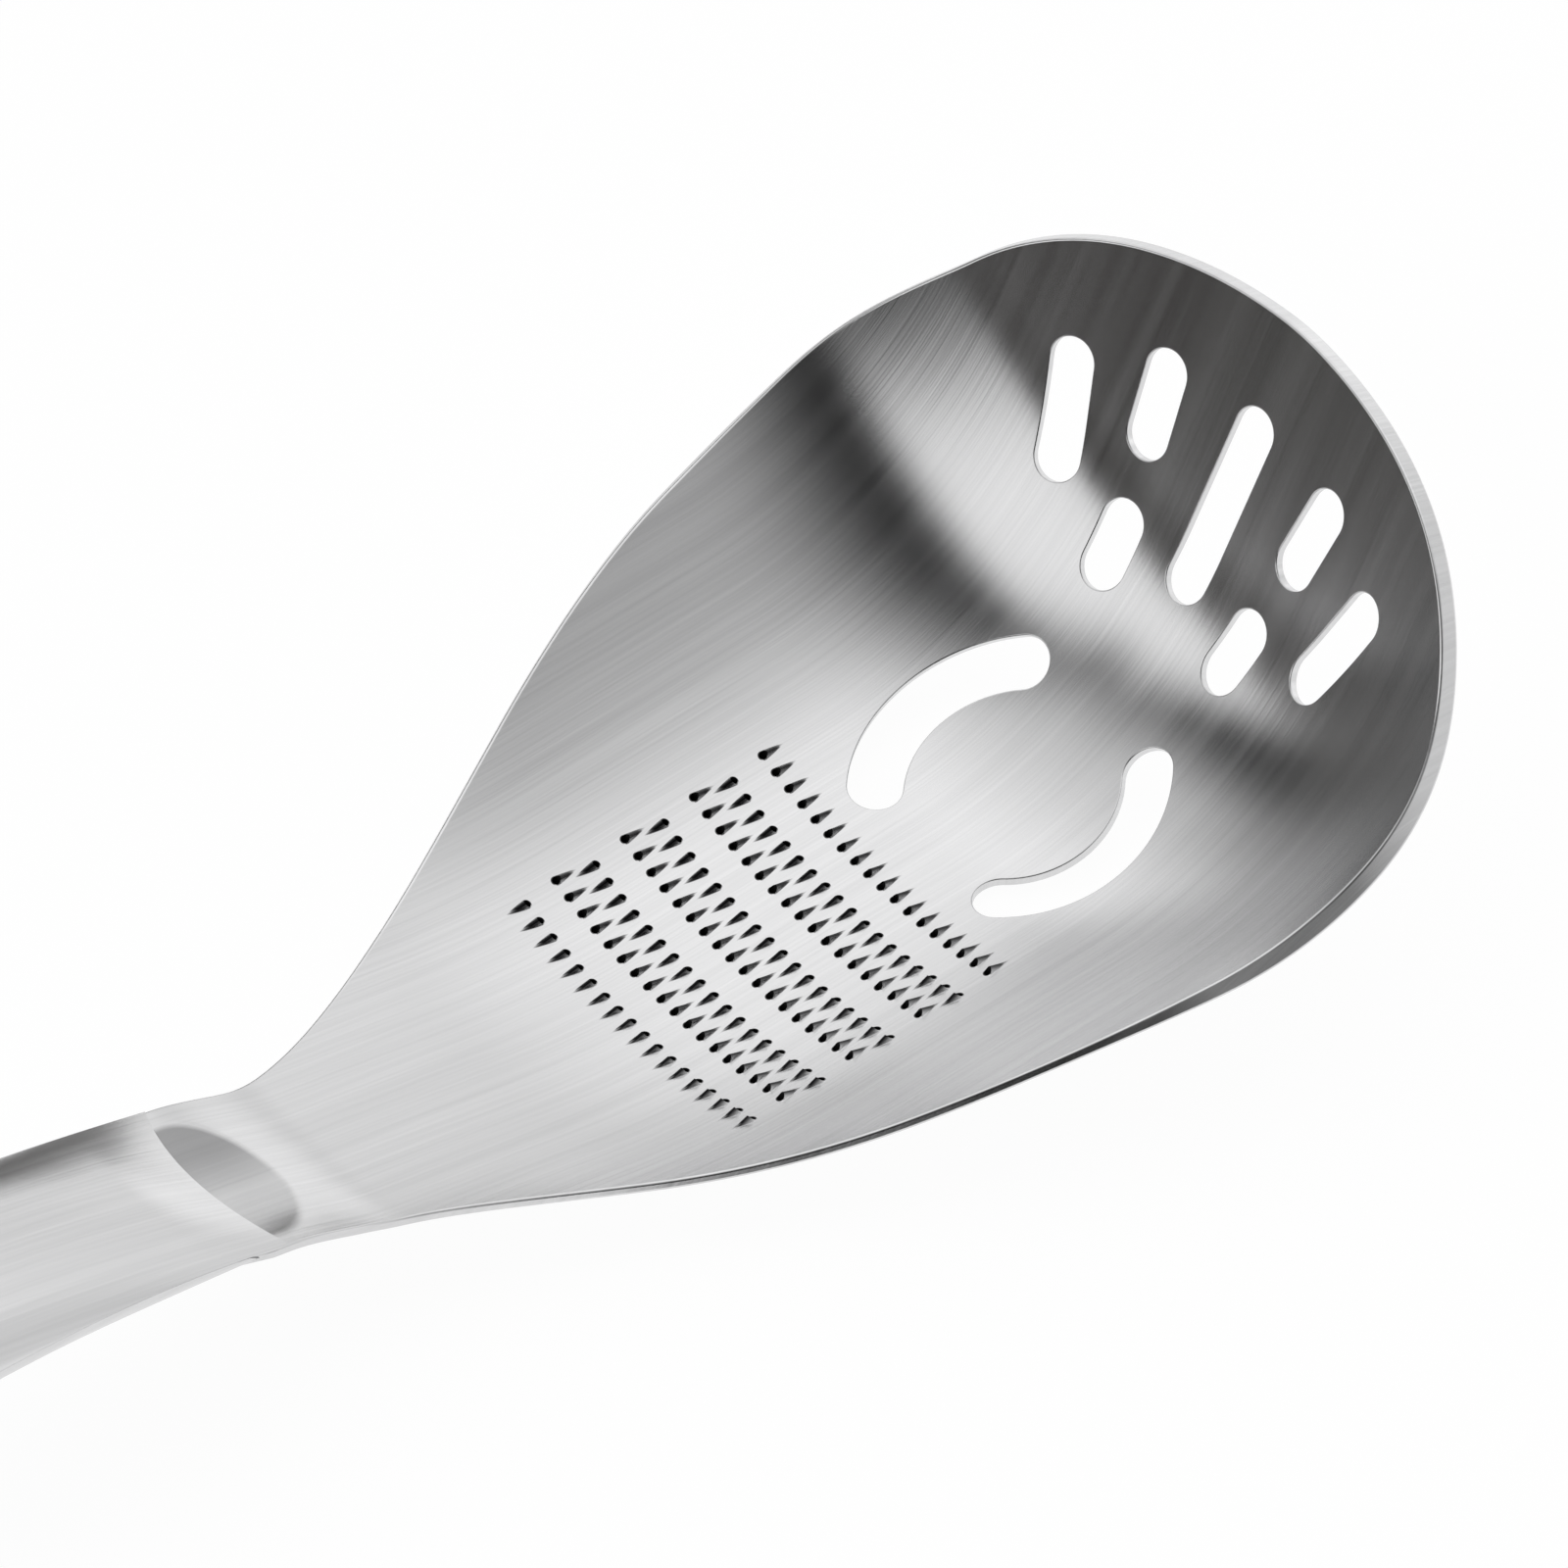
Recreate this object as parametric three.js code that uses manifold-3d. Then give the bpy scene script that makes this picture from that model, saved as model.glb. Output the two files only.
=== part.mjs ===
// Slotted spoon: pressed head with separator slots and grater teeth, hollow handle, solid hanging end.
// Millimetres, +Z up, +X from the handle to the tip of the bowl.
import * as THREE from "three";
import { mergeVertices } from "three/addons/utils/BufferGeometryUtils.js";
import Module from "manifold-3d";

const wasm = await Module();
wasm.setup();
const DEG = Math.PI / 180;

// Head sheet, as a profile along the middle and a round section across
const SHEET = 1.0;
const CROSS_RADIUS = 50.5;
const RAMP_LENGTH = 30;
const NECK_ANGLE = 14.5 * DEG;
const NECK_BEND_RADIUS = 105;
const FRONT_RADIUS = 39.5;
const WALL_ANGLE = 63 * DEG;
const WALL_LENGTH = 26.6;
const REST_STRIP = 5;

// Head outline seen from above
const HEAD_WIDTH = 90;
const WIDEST_AT = 15.8;
const FRONT_POWER = 2.3;
const NECK_WIDTH = 23.2;
const NECK_AT = 85;
const FLANK_NECK_PULL = 20;
const FLANK_WIDE_PULL = 41;
const RIM_HEM = 1.1;
const RIM_HEM_BAND = 2.6;

// Neck: it bends up to the sides of the handle and has a hollow across it
const DIMPLE_AT = 95;
const DIMPLE_DEPTH = 0.85;
const DIMPLE_FRONT = 7.2;
const DIMPLE_BACK = 14;
const DIMPLE_WIDTH = 19;
const DIMPLE_POWER = 2.2;
const NECK_LIFT = 2.2;
const NECK_LIFT_LENGTH = 15;

// Drain slots in the front wall, placed along the profile and across
const SLOT_WIDTH = 5.3;
const CENTRE_SLOT = { along: 48.2, across: 0, length: 23.6, lean: 0 };
const SIDE_SLOTS = [
  { along: 42.4, across: 21.4, length: 15.5, lean: 17.6 * DEG },
  { along: 51.6, across: 12.1, length: 12.4, lean: 7.9 * DEG },
  { along: 36.2, across: 9.65, length: 10.0, lean: 6 * DEG },
];

// Separator slots, two arcs round one centre
const RING_AT = 10.6;
const RING_RADIUS = 14.15;
const RING_SLOT_WIDTH = 5.5;
const RING_HALF_SWEEP = 46 * DEG;

// Grater teeth, in two lines along each plain band
const BANDS = 4;
const BAND_PITCH = 9.15;
const BAND_WIDTH = 4.4;
const GRATER_MIDDLE = -23.8;
const GRATER_LEAN = 0.033;
const TEETH_PER_LINE = 18;
const TOOTH_PITCH = 2.19;
const TOOTH_STAGGER = 0.33;
const TOOTH_LENGTH = 2.8;
const TOOTH_WIDTH = 1.1;
const TOOTH_HEIGHT = 0.75;

// Hollow handle
const SHELL = 1.0;
const FIT = 0.3;
const NOSE_AT = 95;
const NOSE_LENGTH = 11;
const NOSE_SETBACK = 3.2;
const LAP_LENGTH = 9;
const SHOULDER_STEP = 0.2;
const OVERLAP = 0.05;
const NOSE_CROWN = 1.6;
const NOSE_LIP = 0.3;
const CROWN = 5.6;
const CROWN_LENGTH = 60;
const KEEL = 6.6;
const KEEL_LENGTH = 22;
const GRIP_WIDTH = 29;
const HANDLE_ANGLE = 19.5 * DEG;
const HANDLE_RADIUS = 215;
const TANG_WIDTH = 9;
const TANG_LENGTH = 24;
const RING_STEPS = 32;
const HANDLE_STEPS = 24;

// Solid hanging end
const END_LENGTH = 32;
const END_WIDTH = 18;
const END_THICKNESS = 4.4;
const COLLAR_LENGTH = 15;
const TAIL_HEIGHT = 3.5;
const TAIL_WIDTH = 20.5;
const SPIGOT_LENGTH = 12;
const HOLE_LENGTH = 12;
const HOLE_WIDTH = 7;
const EDGE = 0.6;

const NECK_BEND_LENGTH = NECK_BEND_RADIUS * NECK_ANGLE;
const FRONT_BEND_LENGTH = FRONT_RADIUS * WALL_ANGLE;
const NECK_BEND_REACH = RAMP_LENGTH + NECK_BEND_RADIUS * Math.sin(NECK_ANGLE);
const FRONT_BEND_REACH = FRONT_RADIUS * Math.sin(WALL_ANGLE);
const LAP_END = LAP_LENGTH + SHOULDER_STEP + FIT;
const TIP_AT = FRONT_BEND_REACH + WALL_LENGTH * Math.cos(WALL_ANGLE);
const EDGE_RISE = (NECK_WIDTH - REST_STRIP) ** 2 / 8 / CROSS_RADIUS + NECK_LIFT;

// Point and slope of the middle of the sheet at a length along it, from the foot of the front bend
function profile(along) {
  if (along > FRONT_BEND_LENGTH) {
    const rest = along - FRONT_BEND_LENGTH;
    const z = FRONT_RADIUS * (1 - Math.cos(WALL_ANGLE)) + rest * Math.sin(WALL_ANGLE);
    return { x: FRONT_BEND_REACH + rest * Math.cos(WALL_ANGLE), z, slope: WALL_ANGLE };
  }
  if (along > 0) {
    const turn = along / FRONT_RADIUS;
    return { x: FRONT_RADIUS * Math.sin(turn), z: FRONT_RADIUS * (1 - Math.cos(turn)), slope: turn };
  }
  if (along > -RAMP_LENGTH) {
    return { x: along, z: 0, slope: 0 };
  }
  const past = -along - RAMP_LENGTH;
  const turn = Math.min(past / NECK_BEND_RADIUS, NECK_ANGLE);
  const rest = Math.max(past - NECK_BEND_LENGTH, 0);
  const x = -RAMP_LENGTH - NECK_BEND_RADIUS * Math.sin(turn) - rest * Math.cos(turn);
  const z = NECK_BEND_RADIUS * (1 - Math.cos(turn)) + rest * Math.sin(turn);
  return { x, z, slope: -turn };
}

// Length along the sheet where its middle passes a given x
function alongAt(x) {
  if (x > FRONT_BEND_REACH) {
    return FRONT_BEND_LENGTH + (x - FRONT_BEND_REACH) / Math.cos(WALL_ANGLE);
  }
  if (x > 0) {
    return FRONT_RADIUS * Math.asin(x / FRONT_RADIUS);
  }
  if (x > -RAMP_LENGTH) {
    return x;
  }
  if (x > -NECK_BEND_REACH) {
    return -RAMP_LENGTH - NECK_BEND_RADIUS * Math.asin((-x - RAMP_LENGTH) / NECK_BEND_RADIUS);
  }
  return -RAMP_LENGTH - NECK_BEND_LENGTH - (-x - NECK_BEND_REACH) / Math.cos(NECK_ANGLE);
}

// Height of the neck over the plain sheet: the lift towards the handle, less the hollow in the middle
function neckForm(x, across) {
  const along = (x + DIMPLE_AT) / (x > -DIMPLE_AT ? DIMPLE_FRONT : DIMPLE_BACK);
  const level = along ** 2 + Math.abs((across * 2) / DIMPLE_WIDTH) ** DIMPLE_POWER;
  const hollow = DIMPLE_DEPTH * Math.max(1 - level, 0);
  return NECK_LIFT * (1 - THREE.MathUtils.smoothstep(x, -NOSE_AT, NECK_LIFT_LENGTH - NOSE_AT)) - hollow;
}

// Upper face of the sheet; a strip down the middle of the floor is flat
function surface(along, across) {
  const p = profile(along);
  const off = Math.max(Math.abs(across) - REST_STRIP / 2, 0);
  const z = p.z + off ** 2 / 2 / CROSS_RADIUS + neckForm(p.x, Math.abs(across));
  return new THREE.Vector3(p.x, across, z);
}

// Directions along and across the sheet and out of its upper face
function frameAt(along, across) {
  const step = 0.05;
  const u = surface(along + step, across).sub(surface(along - step, across)).normalize();
  const v = surface(along, across + step).sub(surface(along, across - step)).normalize();
  const n = new THREE.Vector3().crossVectors(u, v).normalize();
  v.crossVectors(n, u);
  return { u, v, n, at: surface(along, across) };
}

function solidOf(geometry) {
  const bare = geometry.clone();
  bare.deleteAttribute("normal");
  bare.deleteAttribute("uv");
  const merged = mergeVertices(bare, 1e-4);
  const vertProperties = Float32Array.from(merged.getAttribute("position").array);
  const triVerts = Uint32Array.from(merged.getIndex().array);
  return new wasm.Manifold(new wasm.Mesh({ numProp: 3, vertProperties, triVerts }));
}

function geometryOf(solid) {
  const mesh = solid.getMesh();
  const geometry = new THREE.BufferGeometry();
  geometry.setAttribute("position", new THREE.BufferAttribute(Float32Array.from(mesh.vertProperties), 3));
  geometry.setIndex(new THREE.BufferAttribute(Uint32Array.from(mesh.triVerts), 1));
  geometry.computeVertexNormals();
  return geometry;
}

// Indexed body, turned to face out if its rings run the other way
function bodyOf(points, index) {
  let volume = 0;
  for (let i = 0; i < index.length; i += 3) {
    const [a, b, c] = [points[index[i]], points[index[i + 1]], points[index[i + 2]]];
    volume += a.dot(new THREE.Vector3().crossVectors(b, c));
  }
  const geometry = new THREE.BufferGeometry().setFromPoints(points);
  geometry.setIndex(volume > 0 ? index : index.slice().reverse());
  return geometry;
}

// Closed body from rings of equal size, with a fan over each end
function loft(rings) {
  const size = rings[0].length;
  const points = rings.flat();
  const index = [];
  for (let i = 0; i + 1 < rings.length; i += 1) {
    for (let j = 0; j < size; j += 1) {
      const a = i * size + j;
      const b = i * size + ((j + 1) % size);
      index.push(a, b, b + size, a, b + size, a + size);
    }
  }
  for (const end of [0, rings.length - 1]) {
    const middle = new THREE.Vector3();
    rings[end].forEach((p) => middle.addScaledVector(p, 1 / size));
    points.push(middle);
    for (let j = 0; j < size; j += 1) {
      const a = end * size + j;
      const b = end * size + ((j + 1) % size);
      index.push(...(end === 0 ? [b, a, points.length - 1] : [a, b, points.length - 1]));
    }
  }
  return bodyOf(points, index);
}

// Extruded plan shape stood on a plane, from below it to above it
function prism(shape, place, below, above) {
  const geometry = new THREE.ExtrudeGeometry(shape, {
    depth: below + above,
    bevelEnabled: false,
    curveSegments: 8,
  });
  geometry.translate(0, 0, -below);
  const matrix = new THREE.Matrix4().makeBasis(place.u, place.v, place.n).setPosition(place.at);
  geometry.applyMatrix4(matrix);
  return solidOf(geometry);
}

function slotShape(length, width) {
  const r = width / 2;
  const h = length / 2 - r;
  const shape = new THREE.Shape();
  shape.moveTo(-h, -r);
  shape.lineTo(h, -r);
  shape.absarc(h, 0, r, -Math.PI / 2, Math.PI / 2, false);
  shape.lineTo(-h, r);
  shape.absarc(-h, 0, r, Math.PI / 2, Math.PI * 1.5, false);
  return shape;
}

function arcSlotShape(radius, width, halfSweep, middle) {
  const r = width / 2;
  const from = middle - halfSweep;
  const to = middle + halfSweep;
  const shape = new THREE.Shape();
  shape.absarc(0, 0, radius + r, from, to, false);
  shape.absarc(radius * Math.cos(to), radius * Math.sin(to), r, to, to + Math.PI, false);
  shape.absarc(0, 0, radius - r, to, from, true);
  shape.absarc(radius * Math.cos(from), radius * Math.sin(from), r, from - Math.PI, from, false);
  return shape;
}

// Half outline of the head from the end of the tang to the tip, as x and half width
function outline() {
  const half = HEAD_WIDTH / 2;
  const neck = NECK_WIDTH / 2;
  const tang = TANG_WIDTH / 2;
  const shoulder = NOSE_AT + LAP_LENGTH;
  const points = [
    [-shoulder - TANG_LENGTH, tang],
    [-shoulder - TANG_LENGTH / 2, tang],
    [-shoulder - SHOULDER_STEP, tang],
    [-shoulder, neck],
  ];
  for (let i = 1; i <= 8; i += 1) {
    points.push([-shoulder + ((shoulder - NECK_AT) * i) / 9, neck]);
  }
  const flank = new THREE.CubicBezierCurve(
    new THREE.Vector2(-NECK_AT, neck),
    new THREE.Vector2(-NECK_AT + FLANK_NECK_PULL, neck),
    new THREE.Vector2(WIDEST_AT - FLANK_WIDE_PULL, half),
    new THREE.Vector2(WIDEST_AT, half),
  );
  flank.getPoints(18).forEach((p) => points.push([p.x, p.y]));
  const reach = TIP_AT - WIDEST_AT;
  for (let angle = 80; angle >= 2; angle -= 6) {
    const c = Math.cos(angle * DEG) ** (2 / FRONT_POWER);
    points.push([WIDEST_AT + reach * c, half * Math.sin(angle * DEG)]);
  }
  return points;
}

// Places of the mesh lines across half the sheet: the flat strip, the open face, the rim band
function halfRow(half) {
  const band = Math.min(RIM_HEM_BAND, half * 0.14);
  const strip = Math.min(REST_STRIP / 2, half * 0.3);
  const row = [];
  for (let i = 0; i <= 7; i += 1) {
    row.push(strip + ((half - band - strip) * i) / 7);
  }
  return [...row, half];
}

// Distance from a point of the sheet to the rim, measured over the sheet
function rimDistance(x, y, half) {
  if (x <= WIDEST_AT) {
    return half - Math.abs(y);
  }
  const reach = TIP_AT - WIDEST_AT;
  const wide = HEAD_WIDTH / 2;
  const f = (x - WIDEST_AT) / reach;
  const level = 1 - f ** FRONT_POWER - (y / wide) ** 2;
  const slope = profile(alongAt(x)).slope;
  const forward = (FRONT_POWER * f ** (FRONT_POWER - 1) * Math.cos(slope)) / reach;
  return level / Math.hypot(forward, (2 * y) / wide ** 2);
}

// Pressed sheet: upper and lower faces between the two edges, thicker along the front rim
function sheetGeometry() {
  const points = [];
  const index = [];
  const stations = outline();
  const columns = 2 * halfRow(1).length;
  for (const [x, half] of stations) {
    const along = alongAt(x);
    const right = halfRow(half);
    const front = THREE.MathUtils.smoothstep(x, -20, WIDEST_AT);
    for (const y of [...right.map((value) => -value).reverse(), ...right]) {
      const { n, at } = frameAt(along, y);
      const near = Math.min(Math.max(1 - rimDistance(x, y, half) / RIM_HEM_BAND, 0), 1);
      points.push(at, at.clone().addScaledVector(n, -SHEET - RIM_HEM * front * near));
    }
  }
  const id = (i, j, side) => (i * columns + j) * 2 + side;
  const quad = (a, b, c, d) => index.push(a, b, c, a, c, d);
  const last = stations.length - 1;
  const edge = columns - 1;
  for (let i = 0; i < last; i += 1) {
    for (let j = 0; j < edge; j += 1) {
      quad(id(i, j, 0), id(i + 1, j, 0), id(i + 1, j + 1, 0), id(i, j + 1, 0));
      quad(id(i, j, 1), id(i, j + 1, 1), id(i + 1, j + 1, 1), id(i + 1, j, 1));
    }
    quad(id(i, 0, 0), id(i, 0, 1), id(i + 1, 0, 1), id(i + 1, 0, 0));
    quad(id(i, edge, 0), id(i + 1, edge, 0), id(i + 1, edge, 1), id(i, edge, 1));
  }
  for (let j = 0; j < edge; j += 1) {
    quad(id(0, j, 0), id(0, j + 1, 0), id(0, j + 1, 1), id(0, j, 1));
    quad(id(last, j, 0), id(last, j, 1), id(last, j + 1, 1), id(last, j + 1, 0));
  }
  return bodyOf(points, index);
}

// Slots turned by their lean from the direction along the sheet
function slotCut(slot, side) {
  const place = frameAt(slot.along, slot.across * side);
  const lean = slot.lean * side;
  const u = place.u.clone().multiplyScalar(Math.cos(lean)).addScaledVector(place.v, Math.sin(lean));
  const v = new THREE.Vector3().crossVectors(place.n, u);
  return prism(slotShape(slot.length, SLOT_WIDTH), { ...place, u, v }, 4, 4);
}

// One tooth: a low spike with its point over the plain band and a tail that runs out away from it
function tooth(along, across, away) {
  const { u, v, n, at } = frameAt(along, across);
  const spot = (length, side, height) => {
    return at.clone().addScaledVector(u, length * away).addScaledVector(v, side).addScaledVector(n, height);
  };
  const w = TOOTH_WIDTH / 2;
  const sink = -SHEET / 2;
  const base = [spot(0, -w, sink), spot(0, w, sink), spot(TOOTH_LENGTH, 0, sink)];
  return solidOf(bodyOf([...base, spot(0.35, 0, TOOTH_HEIGHT)], [0, 1, 2, 1, 0, 3, 2, 1, 3, 0, 2, 3]));
}

function grater() {
  const teeth = [];
  for (let band = 0; band < BANDS; band += 1) {
    const middle = GRATER_MIDDLE + (band - (BANDS - 1) / 2) * BAND_PITCH;
    for (const away of [-1, 1]) {
      for (let i = 0; i < TEETH_PER_LINE; i += 1) {
        const across = (i - (TEETH_PER_LINE - 1) / 2) * TOOTH_PITCH + away * TOOTH_STAGGER;
        teeth.push(tooth(middle + (away * BAND_WIDTH) / 2 + GRATER_LEAN * across, across, away));
      }
    }
  }
  return teeth;
}

function headSolid() {
  let head = solidOf(sheetGeometry());
  const cuts = [slotCut(CENTRE_SLOT, 1)];
  for (const slot of SIDE_SLOTS) {
    cuts.push(slotCut(slot, 1), slotCut(slot, -1));
  }
  const ring = frameAt(RING_AT, 0);
  for (const middle of [Math.PI / 2, -Math.PI / 2]) {
    cuts.push(prism(arcSlotShape(RING_RADIUS, RING_SLOT_WIDTH, RING_HALF_SWEEP, middle), ring, 5, 9));
  }
  for (const cut of cuts) {
    head = head.subtract(cut);
  }
  for (const spike of grater()) {
    head = head.add(spike);
  }
  return head;
}

// Middle line of the handle: an arc from the nose, then straight down to the table
const nose = profile(alongAt(-NOSE_AT));
const START = new THREE.Vector3(nose.x, 0, nose.z + EDGE_RISE);
const ARM = HANDLE_RADIUS - END_THICKNESS / 2;
const RISE = HANDLE_RADIUS * Math.cos(HANDLE_ANGLE) - START.z - SHEET;
const TAIL_ANGLE = Math.acos(RISE / Math.hypot(ARM, END_LENGTH)) - Math.atan2(END_LENGTH, ARM);
const SHELL_END = HANDLE_RADIUS * (HANDLE_ANGLE + TAIL_ANGLE);

function handleFrame(length) {
  const heading = HANDLE_ANGLE - Math.min(length, SHELL_END) / HANDLE_RADIUS;
  const back = new THREE.Vector3(-Math.cos(heading), 0, Math.sin(heading));
  const up = new THREE.Vector3(Math.sin(heading), 0, Math.cos(heading));
  const at = START.clone();
  at.x -= HANDLE_RADIUS * (Math.sin(HANDLE_ANGLE) - Math.sin(heading));
  at.z += HANDLE_RADIUS * (Math.cos(heading) - Math.cos(HANDLE_ANGLE));
  at.addScaledVector(back, Math.max(length - SHELL_END, 0));
  return { at, back, up };
}

// Half width, height above and depth below the middle line at a length along the handle, and how flat
// an arch the upper side is
function handleSize(length) {
  const n = Math.min(Math.max(length / NOSE_LENGTH, 0), 1);
  const shoulder = NOSE_LIP + (1 - NOSE_LIP) * Math.sin((n * Math.PI) / 2);
  const grow = THREE.MathUtils.smoothstep(length, 0, CROWN_LENGTH);
  const top = NOSE_CROWN + (CROWN - NOSE_CROWN) * grow;
  const k = Math.min(Math.max(length / KEEL_LENGTH, 0), 1);
  const bow = Math.max(Math.sqrt(1 - (1 - k) ** 2), 0.1);
  const swell = THREE.MathUtils.smoothstep(length, 0, SHELL_END * 0.5);
  const tail = THREE.MathUtils.smoothstep(length, SHELL_END * 0.45, SHELL_END);
  const half = (NECK_WIDTH + (GRIP_WIDTH - NECK_WIDTH) * swell) / 2;
  return {
    half: half + (TAIL_WIDTH / 2 - half) * tail,
    crown: (top + (TAIL_HEIGHT - top) * tail) * shoulder,
    keel: (KEEL + (TAIL_HEIGHT - KEEL) * tail) * bow,
    power: 2 - grow,
  };
}

// Oval ring across the handle, with a wall taken off it; at the nose its middle is set back from its sides
function handleRing(length, wall) {
  const { at, up, back } = handleFrame(length);
  const { half, crown, keel, power } = handleSize(length);
  const set = NOSE_SETBACK * (1 - THREE.MathUtils.smoothstep(length, 0, NOSE_LENGTH * 2));
  const ring = [];
  for (let i = 0; i < RING_STEPS; i += 1) {
    const angle = (i * 2 * Math.PI) / RING_STEPS;
    const sine = Math.sin(angle);
    const high = Math.max((sine > 0 ? crown : keel) - wall, 0.05);
    const point = at.clone().addScaledVector(up, sine > 0 ? high * sine ** power : high * sine);
    point.addScaledVector(back, set * sine ** 2);
    ring.push(point.setY((half - wall) * Math.cos(angle)));
  }
  return ring;
}

function handleStations(from, to) {
  const stations = [];
  for (const f of [0, 0.03, 0.1, 0.22, 0.4, 0.62, 0.85]) {
    stations.push(from + NOSE_LENGTH * f);
  }
  for (let i = 0; i <= HANDLE_STEPS; i += 1) {
    stations.push(from + NOSE_LENGTH + ((to - from - NOSE_LENGTH) * i) / HANDLE_STEPS);
  }
  return stations;
}

// Everything on one side of the neck sheet, in the stretch where the handle laps it
function neckSide(offset, reach, length) {
  const rings = [];
  const wide = NECK_WIDTH / 2 + 4;
  for (let i = 0; i <= 20; i += 1) {
    const along = alongAt(2 - NOSE_AT - ((length + 2) * i) / 20);
    const ring = [];
    for (let j = 0; j <= 24; j += 1) {
      const p = surface(along, wide * (j / 12 - 1));
      p.z += offset;
      ring.push(p);
    }
    const ends = [ring[24].clone(), ring[0].clone()];
    ends.forEach((p) => ring.push(p.setZ(p.z + reach)));
    rings.push(ring);
  }
  return solidOf(loft(rings));
}

// Everything on one side of the middle line, behind the lap
function seamSide(offset, reach) {
  const rings = [];
  const heading = Math.asin(Math.sin(HANDLE_ANGLE) - (LAP_END - OVERLAP) / HANDLE_RADIUS);
  const from = HANDLE_RADIUS * (HANDLE_ANGLE - heading);
  for (let i = 0; i <= HANDLE_STEPS; i += 1) {
    const { at } = handleFrame(from + ((SHELL_END + 4 - from) * i) / HANDLE_STEPS);
    const near = at.clone().setZ(at.z + offset);
    const far = at.clone().setZ(at.z + reach);
    const wide = GRIP_WIDTH;
    rings.push([near.clone().setY(-wide), near.setY(wide), far.clone().setY(wide), far.setY(-wide)]);
  }
  return solidOf(loft(rings));
}

// One half of the hollow handle: above or below the seam, and above or below the sheet at the neck
function shellSolid(above) {
  const outside = solidOf(loft(handleStations(0, SHELL_END).map((s) => handleRing(s, 0))));
  const inside = solidOf(loft(handleStations(1.6, SHELL_END + 2).map((s) => handleRing(s, SHELL))));
  const tube = outside.subtract(inside);
  if (above) {
    return tube.subtract(neckSide(FIT, -20, LAP_END)).subtract(seamSide(FIT / 2, -20));
  }
  const under = -(SHEET + 2 * FIT) / Math.cos(NECK_ANGLE);
  return tube.subtract(neckSide(under, 20, LAP_END + FIT)).subtract(seamSide(-FIT / 2, 20));
}

// Oval ring of the collar, which shrinks into the flat eye
function collarRing(length) {
  const { at, up } = handleFrame(SHELL_END + length);
  const ease = THREE.MathUtils.smoothstep(length, 0, COLLAR_LENGTH);
  const half = TAIL_WIDTH / 2 + (END_WIDTH / 2 - 1 - TAIL_WIDTH / 2) * ease;
  const high = TAIL_HEIGHT + (END_THICKNESS / 2 - 0.6 - TAIL_HEIGHT) * ease;
  const ring = [];
  for (let i = 0; i < 24; i += 1) {
    const angle = (i * Math.PI) / 12;
    ring.push(at.clone().addScaledVector(up, high * Math.sin(angle)).setY(half * Math.cos(angle)));
  }
  return ring;
}

// Flat eye with a rounded end and eased edges
function eyeSolid() {
  const r = END_WIDTH / 2 - EDGE;
  const shape = new THREE.Shape();
  shape.moveTo(COLLAR_LENGTH / 3, -r);
  shape.lineTo(END_LENGTH - END_WIDTH / 2, -r);
  shape.absarc(END_LENGTH - END_WIDTH / 2, 0, r, -Math.PI / 2, Math.PI / 2, false);
  shape.lineTo(COLLAR_LENGTH / 3, r);
  const geometry = new THREE.ExtrudeGeometry(shape, {
    depth: END_THICKNESS - 2 * EDGE,
    bevelThickness: EDGE,
    bevelSize: EDGE,
    bevelSegments: 2,
    curveSegments: 12,
  });
  geometry.translate(0, 0, EDGE - END_THICKNESS / 2);
  const { at, back, up } = handleFrame(SHELL_END);
  const matrix = new THREE.Matrix4().makeBasis(back, new THREE.Vector3(0, -1, 0), up);
  geometry.applyMatrix4(matrix.setPosition(at));
  return solidOf(geometry);
}

// Solid end: spigot in the handle, collar and eye with the hanging hole
function endSolid() {
  const spigot = [SHELL_END - SPIGOT_LENGTH, SHELL_END - SPIGOT_LENGTH / 2, SHELL_END + 1];
  const plug = solidOf(loft(spigot.map((s) => handleRing(s, SHELL + FIT))));
  const collar = [];
  for (let i = 0; i <= 6; i += 1) {
    collar.push(collarRing(FIT + ((COLLAR_LENGTH - FIT) * i) / 6));
  }
  const { at, back, up } = handleFrame(SHELL_END + END_LENGTH - END_WIDTH / 2 - 1);
  const place = { at, u: back, v: new THREE.Vector3(0, -1, 0), n: up };
  const hole = prism(slotShape(HOLE_LENGTH, HOLE_WIDTH), place, END_THICKNESS, END_THICKNESS);
  return eyeSolid().add(solidOf(loft(collar))).add(plug).subtract(hole);
}

const steel = new THREE.MeshStandardMaterial({ color: 0xc9cacb, metalness: 1, roughness: 0.32 });
steel.name = "brushed_steel";
const spoon = new THREE.Group();

function add(name, solid) {
  const mesh = new THREE.Mesh(geometryOf(solid), steel);
  mesh.name = name;
  spoon.add(mesh);
}

add("spoon_head", headSolid());
add("handle_upper_shell", shellSolid(true));
add("handle_lower_shell", shellSolid(false));
add("hanging_end", endSolid());

// Origin under the middle of the spoon, on the table
const bounds = new THREE.Box3().setFromObject(spoon);
const middle = bounds.getCenter(new THREE.Vector3());
spoon.position.set(-middle.x, -middle.y, -bounds.min.z);

const part = new THREE.Group();
part.add(spoon);
export default part;
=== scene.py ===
"""Looks of a slotted spoon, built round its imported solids.

Shapes are worked out in millimetres, in the drawing frame of the solids, and are moved to the row frame
in metres when a mesh is made.
"""

import math

import bpy
import numpy as np
from mathutils import Matrix, Vector, kdtree
from mathutils.geometry import delaunay_2d_cdt


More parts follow.
